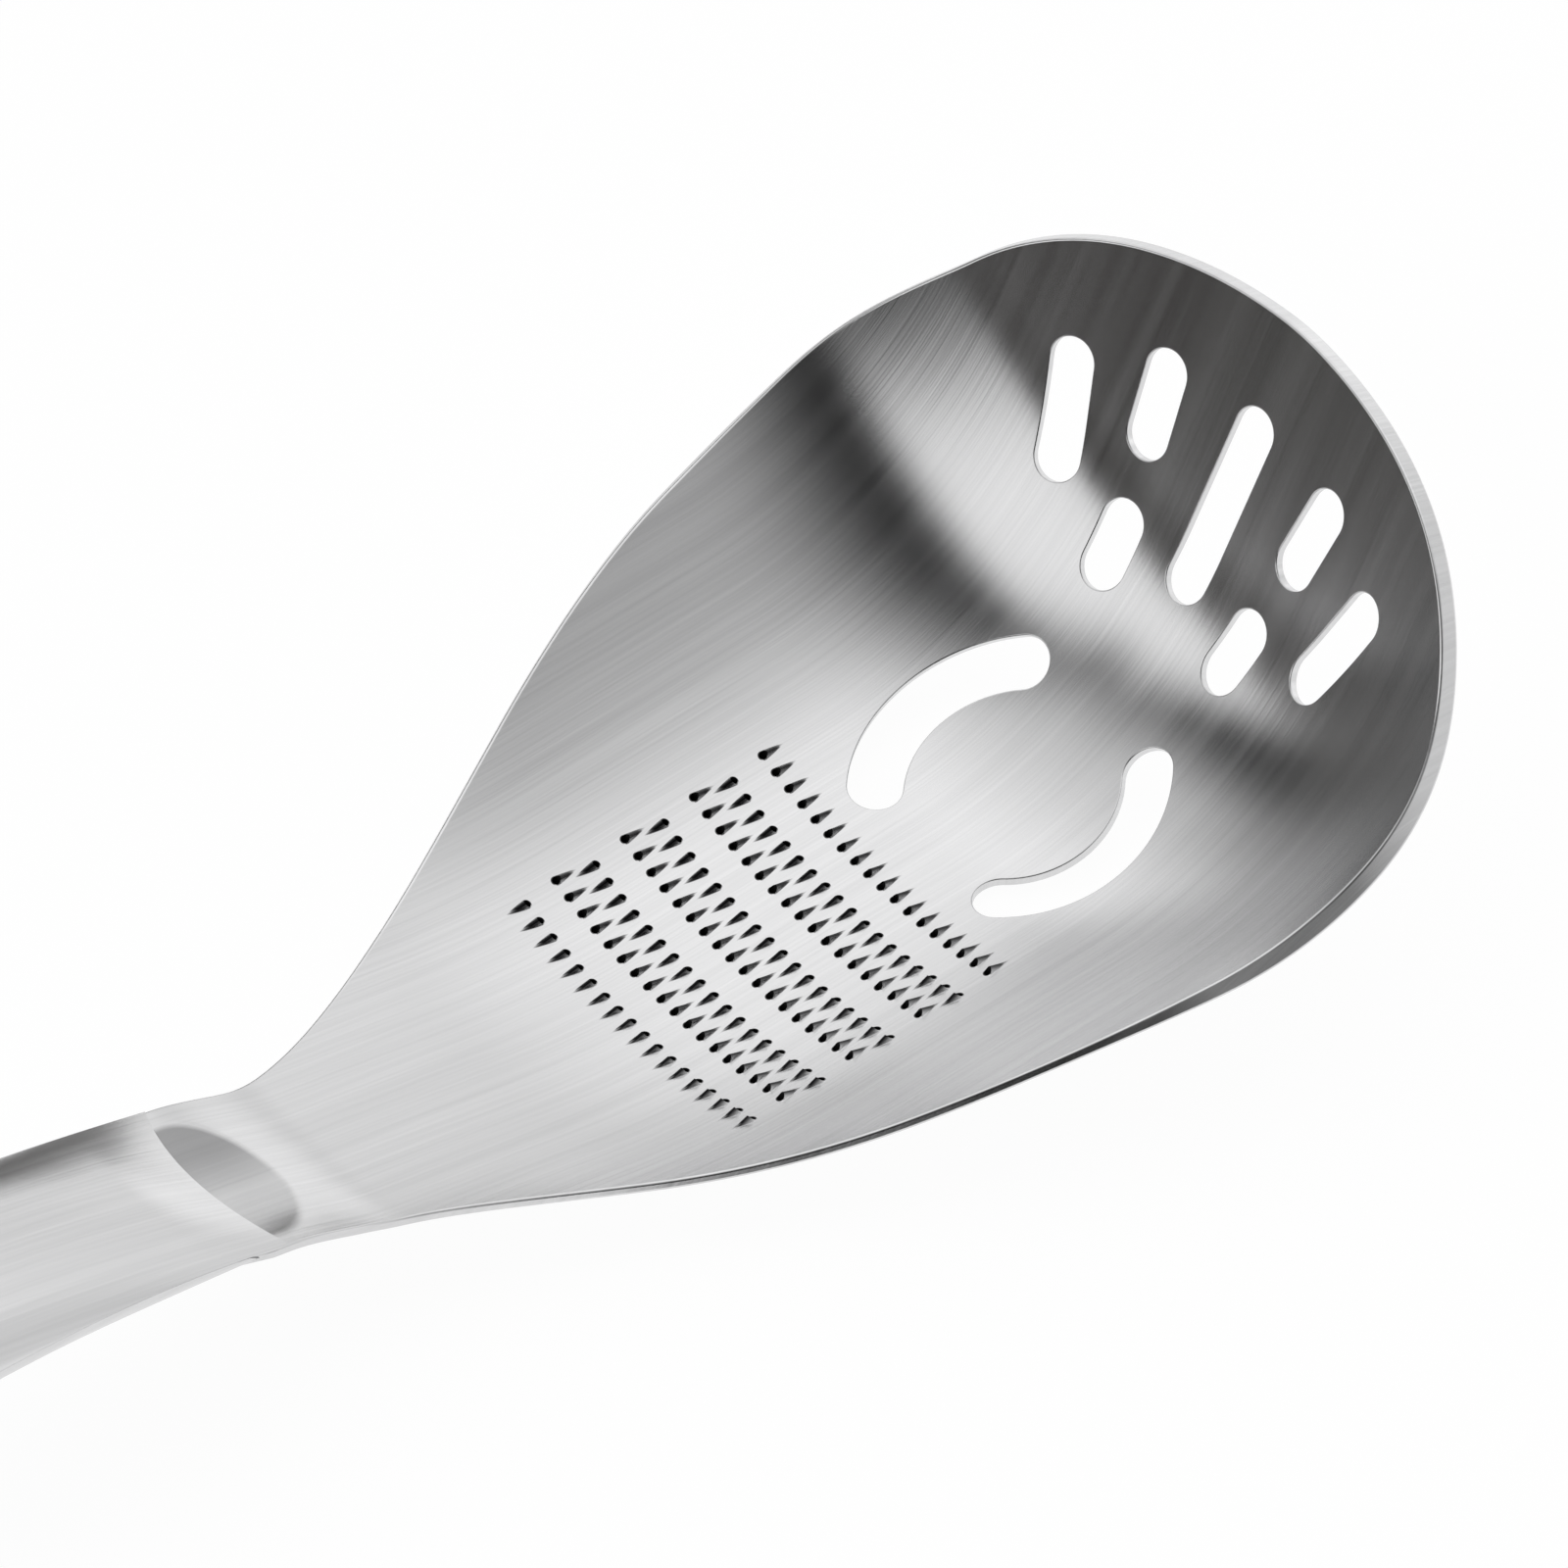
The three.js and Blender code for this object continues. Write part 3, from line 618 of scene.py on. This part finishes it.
def add_teeth(body, places, teeth, starts, upper, drop, hole):
    """Raised metal of each tooth inside its loop, with painted shade along its ridge, and its hole coloured
    dark as painted shade.
    """
    flat = [drop + (hole - drop) * f for f in (0, 0.25, 0.5, 0.75, 1)]
    heights = [tooth_height(p) for p in flat]
    flat += [hole, hole * 0.95, hole * 0.85]
    heights += [heights[4], heights[4] * 0.4 - TOOTH_PIT * 0.4, np.full(len(hole), -TOOTH_PIT)]
    for (along, across, away), loop, first in zip(places, teeth, starts):
        order = slice(None) if away < 0 else slice(None, None, -1)
        rings = []
        for p, height in zip(flat, heights):
            sheet = along + away * p[order, 0], across + p[order, 1]
            rings.append(surface(*sheet) + normal(*sheet) * height[order][:, None])
        ids = [upper[np.arange(first, first + len(loop))]]
        for k in range(1, len(rings)):
            before = rings[k if k == 5 else k - 1]
            after = rings[k if k in (4, 7) else k + 1]
            t = np.roll(rings[k], -1, 0) - np.roll(rings[k], 1, 0)
            # Painted shade: darker on the far side of the ridge and towards the hole
            left = np.clip(1 - flat[k][order, 0] / TOOTH_LENGTH, 0, 1)
            shaded = smoothstep(flat[k][order, 1], *PAINTED_SHADE_SIDE) * smoothstep(left, *PAINTED_SHADE_TAIL)
            torn = shaded * (PAINTED_SHADE_BACK if away < 0 else PAINTED_SHADE_FRONT)
            ids.append(body.add(rings[k], unit(np.cross(t, before - after)), torn))
            # Rings past the hole's edge take the pit material, coloured near-black as painted shade
            if k != 5:
                body.strip(ids[k], ids[k - 1], 1 if k > 5 else 0)
        body.face(ids[-1][::-1], 1)


# Handle
nose_x, nose_z = profile(along_at(-NOSE_AT))
START = np.array([nose_x, 0, nose_z + EDGE_RISE])
ARM = HANDLE_RADIUS - END_THICKNESS / 2
RISE = HANDLE_RADIUS * math.cos(HANDLE_ANGLE) - START[2] - SHEET
TAIL_ANGLE = math.acos(RISE / math.hypot(ARM, END_LENGTH)) - math.atan2(END_LENGTH, ARM)
SHELL_END = HANDLE_RADIUS * (HANDLE_ANGLE + TAIL_ANGLE)


def handle_frame(length):
    """Middle line of the handle: place, way back and way up."""
    length = np.asarray(length, float)
    heading = HANDLE_ANGLE - np.minimum(length, SHELL_END) / HANDLE_RADIUS
    zero = 0 * heading
    back = np.stack([-np.cos(heading), zero, np.sin(heading)], -1)
    up = np.stack([np.sin(heading), zero, np.cos(heading)], -1)
    x = START[0] - HANDLE_RADIUS * (math.sin(HANDLE_ANGLE) - np.sin(heading))
    z = START[2] + HANDLE_RADIUS * (np.cos(heading) - math.cos(HANDLE_ANGLE))
    at = np.stack([x, zero, z], -1) + back * np.maximum(length - SHELL_END, 0)[..., None]
    return at, back, up


def handle_size(length):
    n = np.clip(length / NOSE_LENGTH, 0, 1)
    shoulder = NOSE_LIP + (1 - NOSE_LIP) * np.sin(n * math.pi / 2)
    grow = smoothstep(length, 0, CROWN_LENGTH)
    top = NOSE_CROWN + (CROWN - NOSE_CROWN) * grow
    bow = np.maximum(np.sqrt(1 - (1 - np.clip(length / KEEL_LENGTH, 0, 1)) ** 2), 0.1)
    swell = smoothstep(length, 0, SHELL_END * WIDEST_SHARE)
    tail = smoothstep(length, SHELL_END * TAIL_SHARE, SHELL_END)
    half = (NECK_WIDTH + (GRIP_WIDTH - NECK_WIDTH) * swell) / 2
    half = half + (TAIL_WIDTH / 2 - half) * tail
    crown = (top + (TAIL_HEIGHT - top) * tail) * shoulder
    keel = (KEEL + (TAIL_HEIGHT - KEEL) * tail) * bow
    return half, crown, keel, 2 - grow


def handle_point(length, angle, wall):
    """Point of the handle's skin, or of its inside when a wall is taken off."""
    at, back, up = handle_frame(length)
    half, crown, keel, power = handle_size(length)
    sine = np.sin(angle)
    high = np.maximum(np.where(sine > 0, crown, keel) - wall, 0.05)
    rise = high * np.where(sine > 0, np.abs(sine) ** power, sine)
    setback = NOSE_SETBACK * (1 - smoothstep(length, 0, NOSE_LENGTH * 2))
    point = at + up * rise[..., None] + back * (setback * sine**2)[..., None]
    point[..., 1] = (half - wall) * np.cos(angle)
    return point


def sheet_height(point, side):
    """Height of the sheet's upper or lower face under or over a point of the handle."""
    s = along_at(point[..., 0])
    z = surface(s, point[..., 1])[..., 2]
    return z if side > 0 else z - SHEET / math.cos(NECK_ANGLE)


def shell_rows(side, wall):
    """Rows of points across one half of the handle, from the nose to the tail."""
    near = NOSE_LENGTH * np.linspace(0, 1, NOSE_ROWS) ** 1.6
    lengths = np.concatenate([near, np.linspace(NOSE_LENGTH, SHELL_END, SHELL_ROWS)[1:]])
    rows = []
    for length in lengths:
        at, _, up = handle_frame(length)
        half, _, keel, _ = handle_size(length)
        edge = at + np.array([0, half - wall, 0])
        over_sheet = max((edge[2] - sheet_height(edge, 1)) * up[2], 0)
        under_sheet = max((edge[2] - sheet_height(edge, -1)) * up[2], 0)
        lap = 1 - smoothstep(length, *SEAM_CLOSES)
        line = over_sheet * lap - SEAM * (1 - lap)
        if side > 0:
            start = -math.asin(np.clip(line / max(keel - wall, 0.05), -1, 1))
            angles = start + (math.pi - 2 * start) * np.linspace(0, 1, SHELL_COLUMNS)
        else:
            depth = (under_sheet + SEAM) * lap + (line + 2 * SEAM) * (1 - lap)
            start = math.asin(np.clip(depth / max(keel - wall, 0.05), 0, 1))
            angles = -start - (math.pi - 2 * start) * np.linspace(0, 1, SHELL_COLUMNS)
        rows.append(handle_point(np.full(SHELL_COLUMNS, length), angles, wall))
    return np.array(rows)


def shell_body(side):
    """One half of the hollow handle: skin, inside, seam faces and front."""
    outer, inner = shell_rows(side, 0), shell_rows(side, SHELL)
    if side > 0:
        foot = outer[0].copy()
        foot[:, 2] = np.minimum(sheet_height(foot, 1) + SEAM, foot[:, 2])
        drop = np.linspace(0, 1, 9)[:-1, None, None]
        wall = foot + (outer[0] - foot) * drop
        outer = np.vstack([wall, outer])
        inner = inner[6:]
    else:
        outer, inner = clear_of_sheet(outer), clear_of_sheet(inner)
    loop = np.vstack([outer, inner[::-1]])
    rows, columns = loop.shape[:2]
    faces = []
    for i in range(rows):
        a, b = i * columns, ((i + 1) % rows) * columns
        for j in range(columns - 1):
            faces.append((a + j, a + j + 1, b + j + 1, b + j))
    ends = [[i * columns for i in range(rows)][::-1], [i * columns + columns - 1 for i in range(rows)]]
    for end in ends:
        for i in range(rows // 2):
            quad = (end[i], end[i + 1], end[rows - 2 - i], end[rows - 1 - i])
            if len(set(quad)) == 4:
                faces.append(quad)
            elif len(set(quad)) == 3:
                faces.append(tuple(dict.fromkeys(quad)))
    return loop.reshape(-1, 3), faces


def clear_of_sheet(rows):
    """Lower half: points that would be in the sheet go to just under it."""
    under = sheet_height(rows, -1) - SEAM
    half = np.interp(rows[..., 0], OUTLINE[:, 0], OUTLINE[:, 1]) + SEAM
    covered = (rows[..., 0] > -SHOULDER) & (np.abs(rows[..., 1]) < half)
    rows = rows.copy()
    rows[..., 2] = np.where(covered, np.minimum(rows[..., 2], under), rows[..., 2])
    return rows


def end_body():
    """Solid end: oval collar that runs out into a flat eye with rounded edges."""
    around = END_AROUND
    tip = END_LENGTH - END_WIDTH / 2
    lengths = np.concatenate([
        np.linspace(0, COLLAR_LENGTH, 30),
        np.linspace(COLLAR_LENGTH, tip, 6)[1:],
        END_LENGTH - END_WIDTH / 2 * (1 - np.sin(np.linspace(0, math.pi / 2, 40)))[1:],
    ])
    points = []
    angle = np.arange(around) * 2 * math.pi / around
    for length in lengths:
        at, _, up = handle_frame(SHELL_END + SEAM + length * (1 - SEAM / END_LENGTH))
        ease = float(smoothstep(length, 0, COLLAR_LENGTH))
        half = TAIL_WIDTH / 2 + (END_WIDTH - TAIL_WIDTH) / 2 * ease
        past = max(length - tip, 0)
        half = half * math.sqrt(max(1 - (past / (END_WIDTH / 2)) ** 2, 0.0004))
        high = TAIL_HEIGHT + (END_THICKNESS / 2 - TAIL_HEIGHT) * ease
        high = high * min(1, (max(END_LENGTH - length, 0) + 0.02) / END_ROUND) ** 0.5
        flat = 1 + EYE_SQUARE * ease
        c, s = np.cos(angle), np.sin(angle)
        y = half * np.sign(c) * np.abs(c) ** (1 / flat)
        z = high * np.sign(s) * np.abs(s) ** (1 / flat)
        row = at + up * z[:, None]
        row[:, 1] = y
        points.append(row)
    count = len(points)
    faces = []
    for i in range(count - 1):
        for j in range(around):
            a, b = i * around + j, i * around + (j + 1) % around
            faces.append((a, b, b + around, a + around))
    faces.append(list(range(around))[::-1])
    faces.append([(count - 1) * around + j for j in range(around)])
    return np.vstack(points), faces


def hole_cutter():
    """Oval plug with flared ends, for the hanging hole and its eased edges."""
    at, back, up = handle_frame(SHELL_END + END_LENGTH - END_WIDTH / 2 - HOLE_SET)
    at, back, up = at.reshape(3), back.reshape(3), up.reshape(3)
    side = np.array([0, -1.0, 0])
    rows = []
    for height, grow in HOLE_FLARE:
        shape = stadium(HOLE_LENGTH + 2 * grow, HOLE_WIDTH + 2 * grow)
        rows.append(at + shape[:, :1] * back + shape[:, 1:] * side + up * height)
    count = len(rows[0])
    faces = []
    for i in range(len(rows) - 1):
        for j in range(count):
            a, b = i * count + j, i * count + (j + 1) % count
            faces.append((a, b, b + count, a + count))
    faces.append(list(range(count))[::-1])
    faces.append([(len(rows) - 1) * count + j for j in range(count)])
    return np.vstack(rows), faces


# Materials
def node(tree, kind, **values):
    made = tree.nodes.new(kind)
    for key, value in values.items():
        setattr(made, key, value)
    return made


def streaks(tree, scale, detail):
    """Noise drawn out along the spoon."""
    place = node(tree, "ShaderNodeTexCoord")
    stretch = node(tree, "ShaderNodeMapping")
    stretch.inputs["Scale"].default_value = scale
    noise = node(tree, "ShaderNodeTexNoise")
    noise.inputs["Scale"].default_value = 1.0
    noise.inputs["Detail"].default_value = detail
    noise.inputs["Roughness"].default_value = 0.6
    tree.links.new(place.outputs["Object"], stretch.inputs["Vector"])
    tree.links.new(stretch.outputs["Vector"], noise.inputs["Vector"])
    return noise.outputs["Fac"]


def remap(tree, value, low, high):
    made = node(tree, "ShaderNodeMapRange")
    made.inputs["From Min"].default_value = 0.3
    made.inputs["From Max"].default_value = 0.7
    made.inputs["To Min"].default_value = low
    made.inputs["To Max"].default_value = high
    tree.links.new(value, made.inputs["Value"])
    return made.outputs["Result"]


def brushed_steel():
    material = bpy.data.materials.new("brushed_steel_satin")
    material.use_nodes = True
    tree = material.node_tree
    shader = tree.nodes["Principled BSDF"]
    shader.inputs["Metallic"].default_value = 1.0
    shader.inputs["Anisotropic"].default_value = 0.45
    fine = streaks(tree, (25, 2600, 25), 3)
    broad = streaks(tree, (9, 420, 9), 4)
    tone = node(tree, "ShaderNodeMix", data_type="RGBA")
    tone.inputs["A"].default_value = (0.60, 0.60, 0.605, 1)
    tone.inputs["B"].default_value = (0.80, 0.80, 0.805, 1)
    both = node(tree, "ShaderNodeMath", operation="ADD")
    half = node(tree, "ShaderNodeMath", operation="MULTIPLY")
    half.inputs[1].default_value = 0.5
    tree.links.new(fine, both.inputs[0])
    tree.links.new(broad, both.inputs[1])
    tree.links.new(both.outputs[0], half.inputs[0])
    tree.links.new(remap(tree, half.outputs[0], 0.2, 0.8), tone.inputs["Factor"])
    # Painted shade: the point attribute darkens the base colour beside the teeth and in the neck's hollow
    painted_shade_amount = node(tree, "ShaderNodeAttribute", attribute_name="torn")
    torn = node(tree, "ShaderNodeMix", data_type="RGBA")
    torn.inputs["B"].default_value = (0.012, 0.012, 0.013, 1)
    tree.links.new(painted_shade_amount.outputs["Fac"], torn.inputs["Factor"])
    tree.links.new(tone.outputs["Result"], torn.inputs["A"])
    tree.links.new(torn.outputs["Result"], shader.inputs["Base Color"])
    tree.links.new(remap(tree, broad, 0.21, 0.26), shader.inputs["Roughness"])
    across = node(tree, "ShaderNodeCombineXYZ")
    across.inputs["Y"].default_value = 1.0
    tree.links.new(across.outputs["Vector"], shader.inputs["Tangent"])
    bump = node(tree, "ShaderNodeBump")
    bump.inputs["Strength"].default_value = 0.06
    bump.inputs["Distance"].default_value = 0.0002
    tree.links.new(fine, bump.inputs["Height"])
    tree.links.new(bump.outputs["Normal"], shader.inputs["Normal"])
    return material


def pit_shade_steel():
    """Near-black steel in the pits of the grater: painted shade."""
    material = bpy.data.materials.new("pit_painted_shade")
    material.use_nodes = True
    tree = material.node_tree
    shader = tree.nodes["Principled BSDF"]
    shader.inputs["Metallic"].default_value = 0.6
    shader.inputs["Roughness"].default_value = 0.55
    tone = node(tree, "ShaderNodeMix", data_type="RGBA")
    tone.inputs["A"].default_value = (0.012, 0.012, 0.013, 1)
    tone.inputs["B"].default_value = (0.035, 0.035, 0.036, 1)
    tree.links.new(remap(tree, streaks(tree, (900, 900, 900), 2), 0, 1), tone.inputs["Factor"])
    tree.links.new(tone.outputs["Result"], shader.inputs["Base Color"])
    return material


steel = brushed_steel()
pit = pit_shade_steel()

# Pieces
head_parts = head_body()
head = make_object(
    "head_sheet",
    np.vstack(head_parts.points),
    head_parts.faces,
    head_parts.slots,
    [steel, pit],
    normals=np.vstack(head_parts.normals),
    torn=np.concatenate(head_parts.torn),
)
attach(head, "root")
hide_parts("spoon_head")

for name, side, stands_for in (
    ("handle_top_half", 1, "handle_upper_shell"),
    ("handle_under_half", -1, "handle_lower_shell"),
):
    points, faces = shell_body(side)
    piece = make_object(name, points, faces, np.zeros(len(faces)), [steel], sharp=45 * RAD)
    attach(piece, "root")
    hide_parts(stands_for)

points, faces = end_body()
eye = make_object("hanging_eye", points, faces, np.zeros(len(faces)), [steel])
points, faces = hole_cutter()
cutter = make_object("hole_cutter", points, faces, np.zeros(len(faces)), [steel])
cut = eye.modifiers.new("hole", "BOOLEAN")
cut.operation = "DIFFERENCE"
cut.solver = "EXACT"
cut.object = cutter
bpy.context.view_layer.update()
holed = bpy.data.meshes.new_from_object(eye.evaluated_get(bpy.context.evaluated_depsgraph_get()))
eye.modifiers.clear()
eye.data = holed
bpy.data.objects.remove(cutter)
holed.polygons.foreach_set("use_smooth", np.ones(len(holed.polygons), bool))
holed.set_sharp_from_angle(angle=35 * RAD)
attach(eye, "root")
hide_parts("hanging_end")


# Stage helpers
def plain_material(name, colour):
    material = bpy.data.materials.new(name)
    material.use_nodes = True
    shader = material.node_tree.nodes["Principled BSDF"]
    shader.inputs["Base Color"].default_value = (*colour, 1)
    shader.inputs["Roughness"].default_value = 0.9
    shader.inputs["Specular IOR Level"].default_value = 0.0
    return material


def floor_material():
    """Pale floor that shows as white and keeps the shadow."""
    material = bpy.data.materials.new("pale_floor")
    material.use_nodes = True
    tree = material.node_tree
    shader = tree.nodes["Principled BSDF"]
    shader.inputs["Base Color"].default_value = (0.9, 0.9, 0.9, 1)
    shader.inputs["Roughness"].default_value = 0.9
    shader.inputs["Specular IOR Level"].default_value = 0.0
    glow = node(tree, "ShaderNodeEmission")
    glow.inputs["Color"].default_value = (1, 1, 1, 1)
    glow.inputs["Strength"].default_value = 1.04
    path = node(tree, "ShaderNodeLightPath")
    seen = node(tree, "ShaderNodeMath", operation="MAXIMUM")
    seen_too = node(tree, "ShaderNodeMath", operation="MAXIMUM")
    share = node(tree, "ShaderNodeMath", operation="MULTIPLY")
    share.inputs[1].default_value = 0.9
    mix = node(tree, "ShaderNodeMixShader")
    tree.links.new(path.outputs["Is Camera Ray"], seen.inputs[0])
    tree.links.new(path.outputs["Is Glossy Ray"], seen.inputs[1])
    tree.links.new(seen.outputs[0], seen_too.inputs[0])
    tree.links.new(path.outputs["Is Transmission Ray"], seen_too.inputs[1])
    tree.links.new(seen_too.outputs[0], share.inputs[0])
    tree.links.new(share.outputs[0], mix.inputs["Fac"])
    tree.links.new(shader.outputs["BSDF"], mix.inputs[1])
    tree.links.new(glow.outputs["Emission"], mix.inputs[2])
    tree.links.new(mix.outputs["Shader"], tree.nodes["Material Output"].inputs["Surface"])
    return material


def plane(name, centre, right, up, width, height, material):
    right, up = Vector(right).normalized(), Vector(up).normalized()
    centre = Vector(centre)
    corners = []
    for a, b in ((-1, -1), (1, -1), (1, 1), (-1, 1)):
        corners.append(centre + right * (a * width / 2) + up * (b * height / 2))
    mesh = bpy.data.meshes.new(name)
    mesh.from_pydata([tuple(c) for c in corners], [], [(0, 1, 2, 3)])
    mesh.materials.append(material)
    made = bpy.data.objects.new(name, mesh)
    bpy.context.scene.collection.objects.link(made)
    return made


def dark_card(name, centre, right, up, width, height, colour):
    made = plane(name, centre, right, up, width, height, plain_material(name, colour))
    made.visible_camera = False
    made.visible_diffuse = False
    made.visible_shadow = False
    return made


def calc(tree, operation, a, b=None):
    """Result of a math node; numbers and sockets mix."""
    made = node(tree, "ShaderNodeMath", operation=operation)
    for socket, value in zip(made.inputs, (a, b)):
        if isinstance(value, (int, float)):
            socket.default_value = value
        elif value is not None:
            tree.links.new(value, socket)
    return made.outputs[0]


def ease(tree, value, start, end):
    """0 at start, 1 at end, smooth between; angles in degrees."""
    made = node(tree, "ShaderNodeMapRange", interpolation_type="SMOOTHSTEP")
    made.inputs["From Min"].default_value = min(start, end) * RAD
    made.inputs["From Max"].default_value = max(start, end) * RAD
    made.inputs["To Min"].default_value = 0.0 if start < end else 1.0
    made.inputs["To Max"].default_value = 1.0 if start < end else 0.0
    tree.links.new(value, made.inputs["Value"])
    return made.outputs["Result"]


def times(tree, *values):
    """Product of several values."""
    result = values[0]
    for value in values[1:]:
        result = calc(tree, "MULTIPLY", result, value)
    return result


def studio_world():
    """Soft studio: a large light over the bowl, a second one low behind the handle, dimmer room between."""
    world = bpy.data.worlds.new("studio")
    bpy.context.scene.world = world
    world.use_nodes = True
    tree = world.node_tree
    way = node(tree, "ShaderNodeTexCoord")
    parts = node(tree, "ShaderNodeSeparateXYZ")
    tree.links.new(way.outputs["Generated"], parts.inputs[0])
    back = calc(tree, "ARCTAN2", times(tree, parts.outputs["X"], -1.0), parts.outputs["Z"])
    left = calc(tree, "ARCSINE", parts.outputs["Y"])

    # Dim room, lighter over the head and in front of it
    near = times(tree, ease(tree, back, 28, -25), 0.43)
    far = times(tree, ease(tree, back, -20, -100), 0.24)

    # Large light over the bowl, with a slanted end
    slant = calc(tree, "SUBTRACT", back, times(tree, ease(tree, left, -16, 40), 34 * RAD))
    over = times(tree, ease(tree, back, -95, -20), ease(tree, slant, 22, -12))
    over = times(tree, over, ease(tree, left, -30, 8), ease(tree, left, 105, 45), 0.74)

    # Low light behind the handle
    near_end = calc(tree, "SUBTRACT", left, times(tree, back, 0.8))
    far_end = calc(tree, "SUBTRACT", left, times(tree, back, 1.35))
    low = times(tree, ease(tree, back, 32, 44), ease(tree, back, 88, 74), ease(tree, near_end, -70, -55))
    low = times(tree, low, ease(tree, far_end, -26, -54), 1.10)

    # Light walls in front of the tip and beside the bowl
    front = times(tree, ease(tree, back, -66, -84), ease(tree, left, -40, -15), ease(tree, left, 60, 40), 0.5)
    flank = times(tree, ease(tree, left, -5, -25), ease(tree, back, -38, -52), 0.24)

    total = 0.015
    for light in (over, low, front, flank, near, far):
        total = calc(tree, "ADD", light, total)
    backdrop = tree.nodes["Background"]
    tree.links.new(total, backdrop.inputs["Color"])
    backdrop.inputs["Strength"].default_value = 1.0


# Stage: pale floor, soft light, and dark cards that only reflections show
CARD_LEAN = (0, 1, 1)
plane("floor", (0, 0, 0), (1, 0, 0), (0, 1, 0), 30, 30, floor_material())
dark_card("card_back", (-0.09, 0.14, 0.0375), (0.51, 0.86, 0), (0, 0, 1), 0.9, 0.075, (0.05, 0.045, 0.042))
dark_card("card_side", (0.04, 0.11, 0.022), (1, 0, 0), CARD_LEAN, 0.16, 0.064, (0.17, 0.165, 0.16))
dark_card("card_end", (0.1425, 0.11, 0.022), (1, 0, 0), CARD_LEAN, 0.045, 0.064, (0.25, 0.245, 0.24))
studio_world()

# Camera: a long lens at the photograph's angle
LENS = 1200
SENSOR = 36
FIELD = 0.160
PICTURE = 1600
RING_SEEN_AT = (1036, 791)
RING_PLACE = (10.5, 0, 3.6)
right = Vector((0.7674, -0.6409, 0.0142)).normalized()
towards = Vector((-0.4391, -0.5094, 0.7399)).normalized()
above = towards.cross(right).normalized()
right = above.cross(towards)
look_at = (Vector(RING_PLACE) + Vector(SHIFT)) / 1000
look_at = look_at - right * (RING_SEEN_AT[0] - PICTURE / 2) / PICTURE * FIELD
look_at = look_at + above * (RING_SEEN_AT[1] - PICTURE / 2) / PICTURE * FIELD
camera_data = bpy.data.cameras.new("camera")
camera_data.sensor_width = SENSOR
camera_data.lens = LENS
camera = bpy.data.objects.new("camera", camera_data)
bpy.context.scene.collection.objects.link(camera)
distance = FIELD * LENS / SENSOR
camera_data.clip_end = 100
turn = Matrix((right, above, towards)).transposed().to_4x4()
camera.matrix_world = Matrix.Translation(look_at + towards * distance) @ turn
bpy.context.scene.camera = camera
bpy.context.scene.view_settings.view_transform = "Standard"
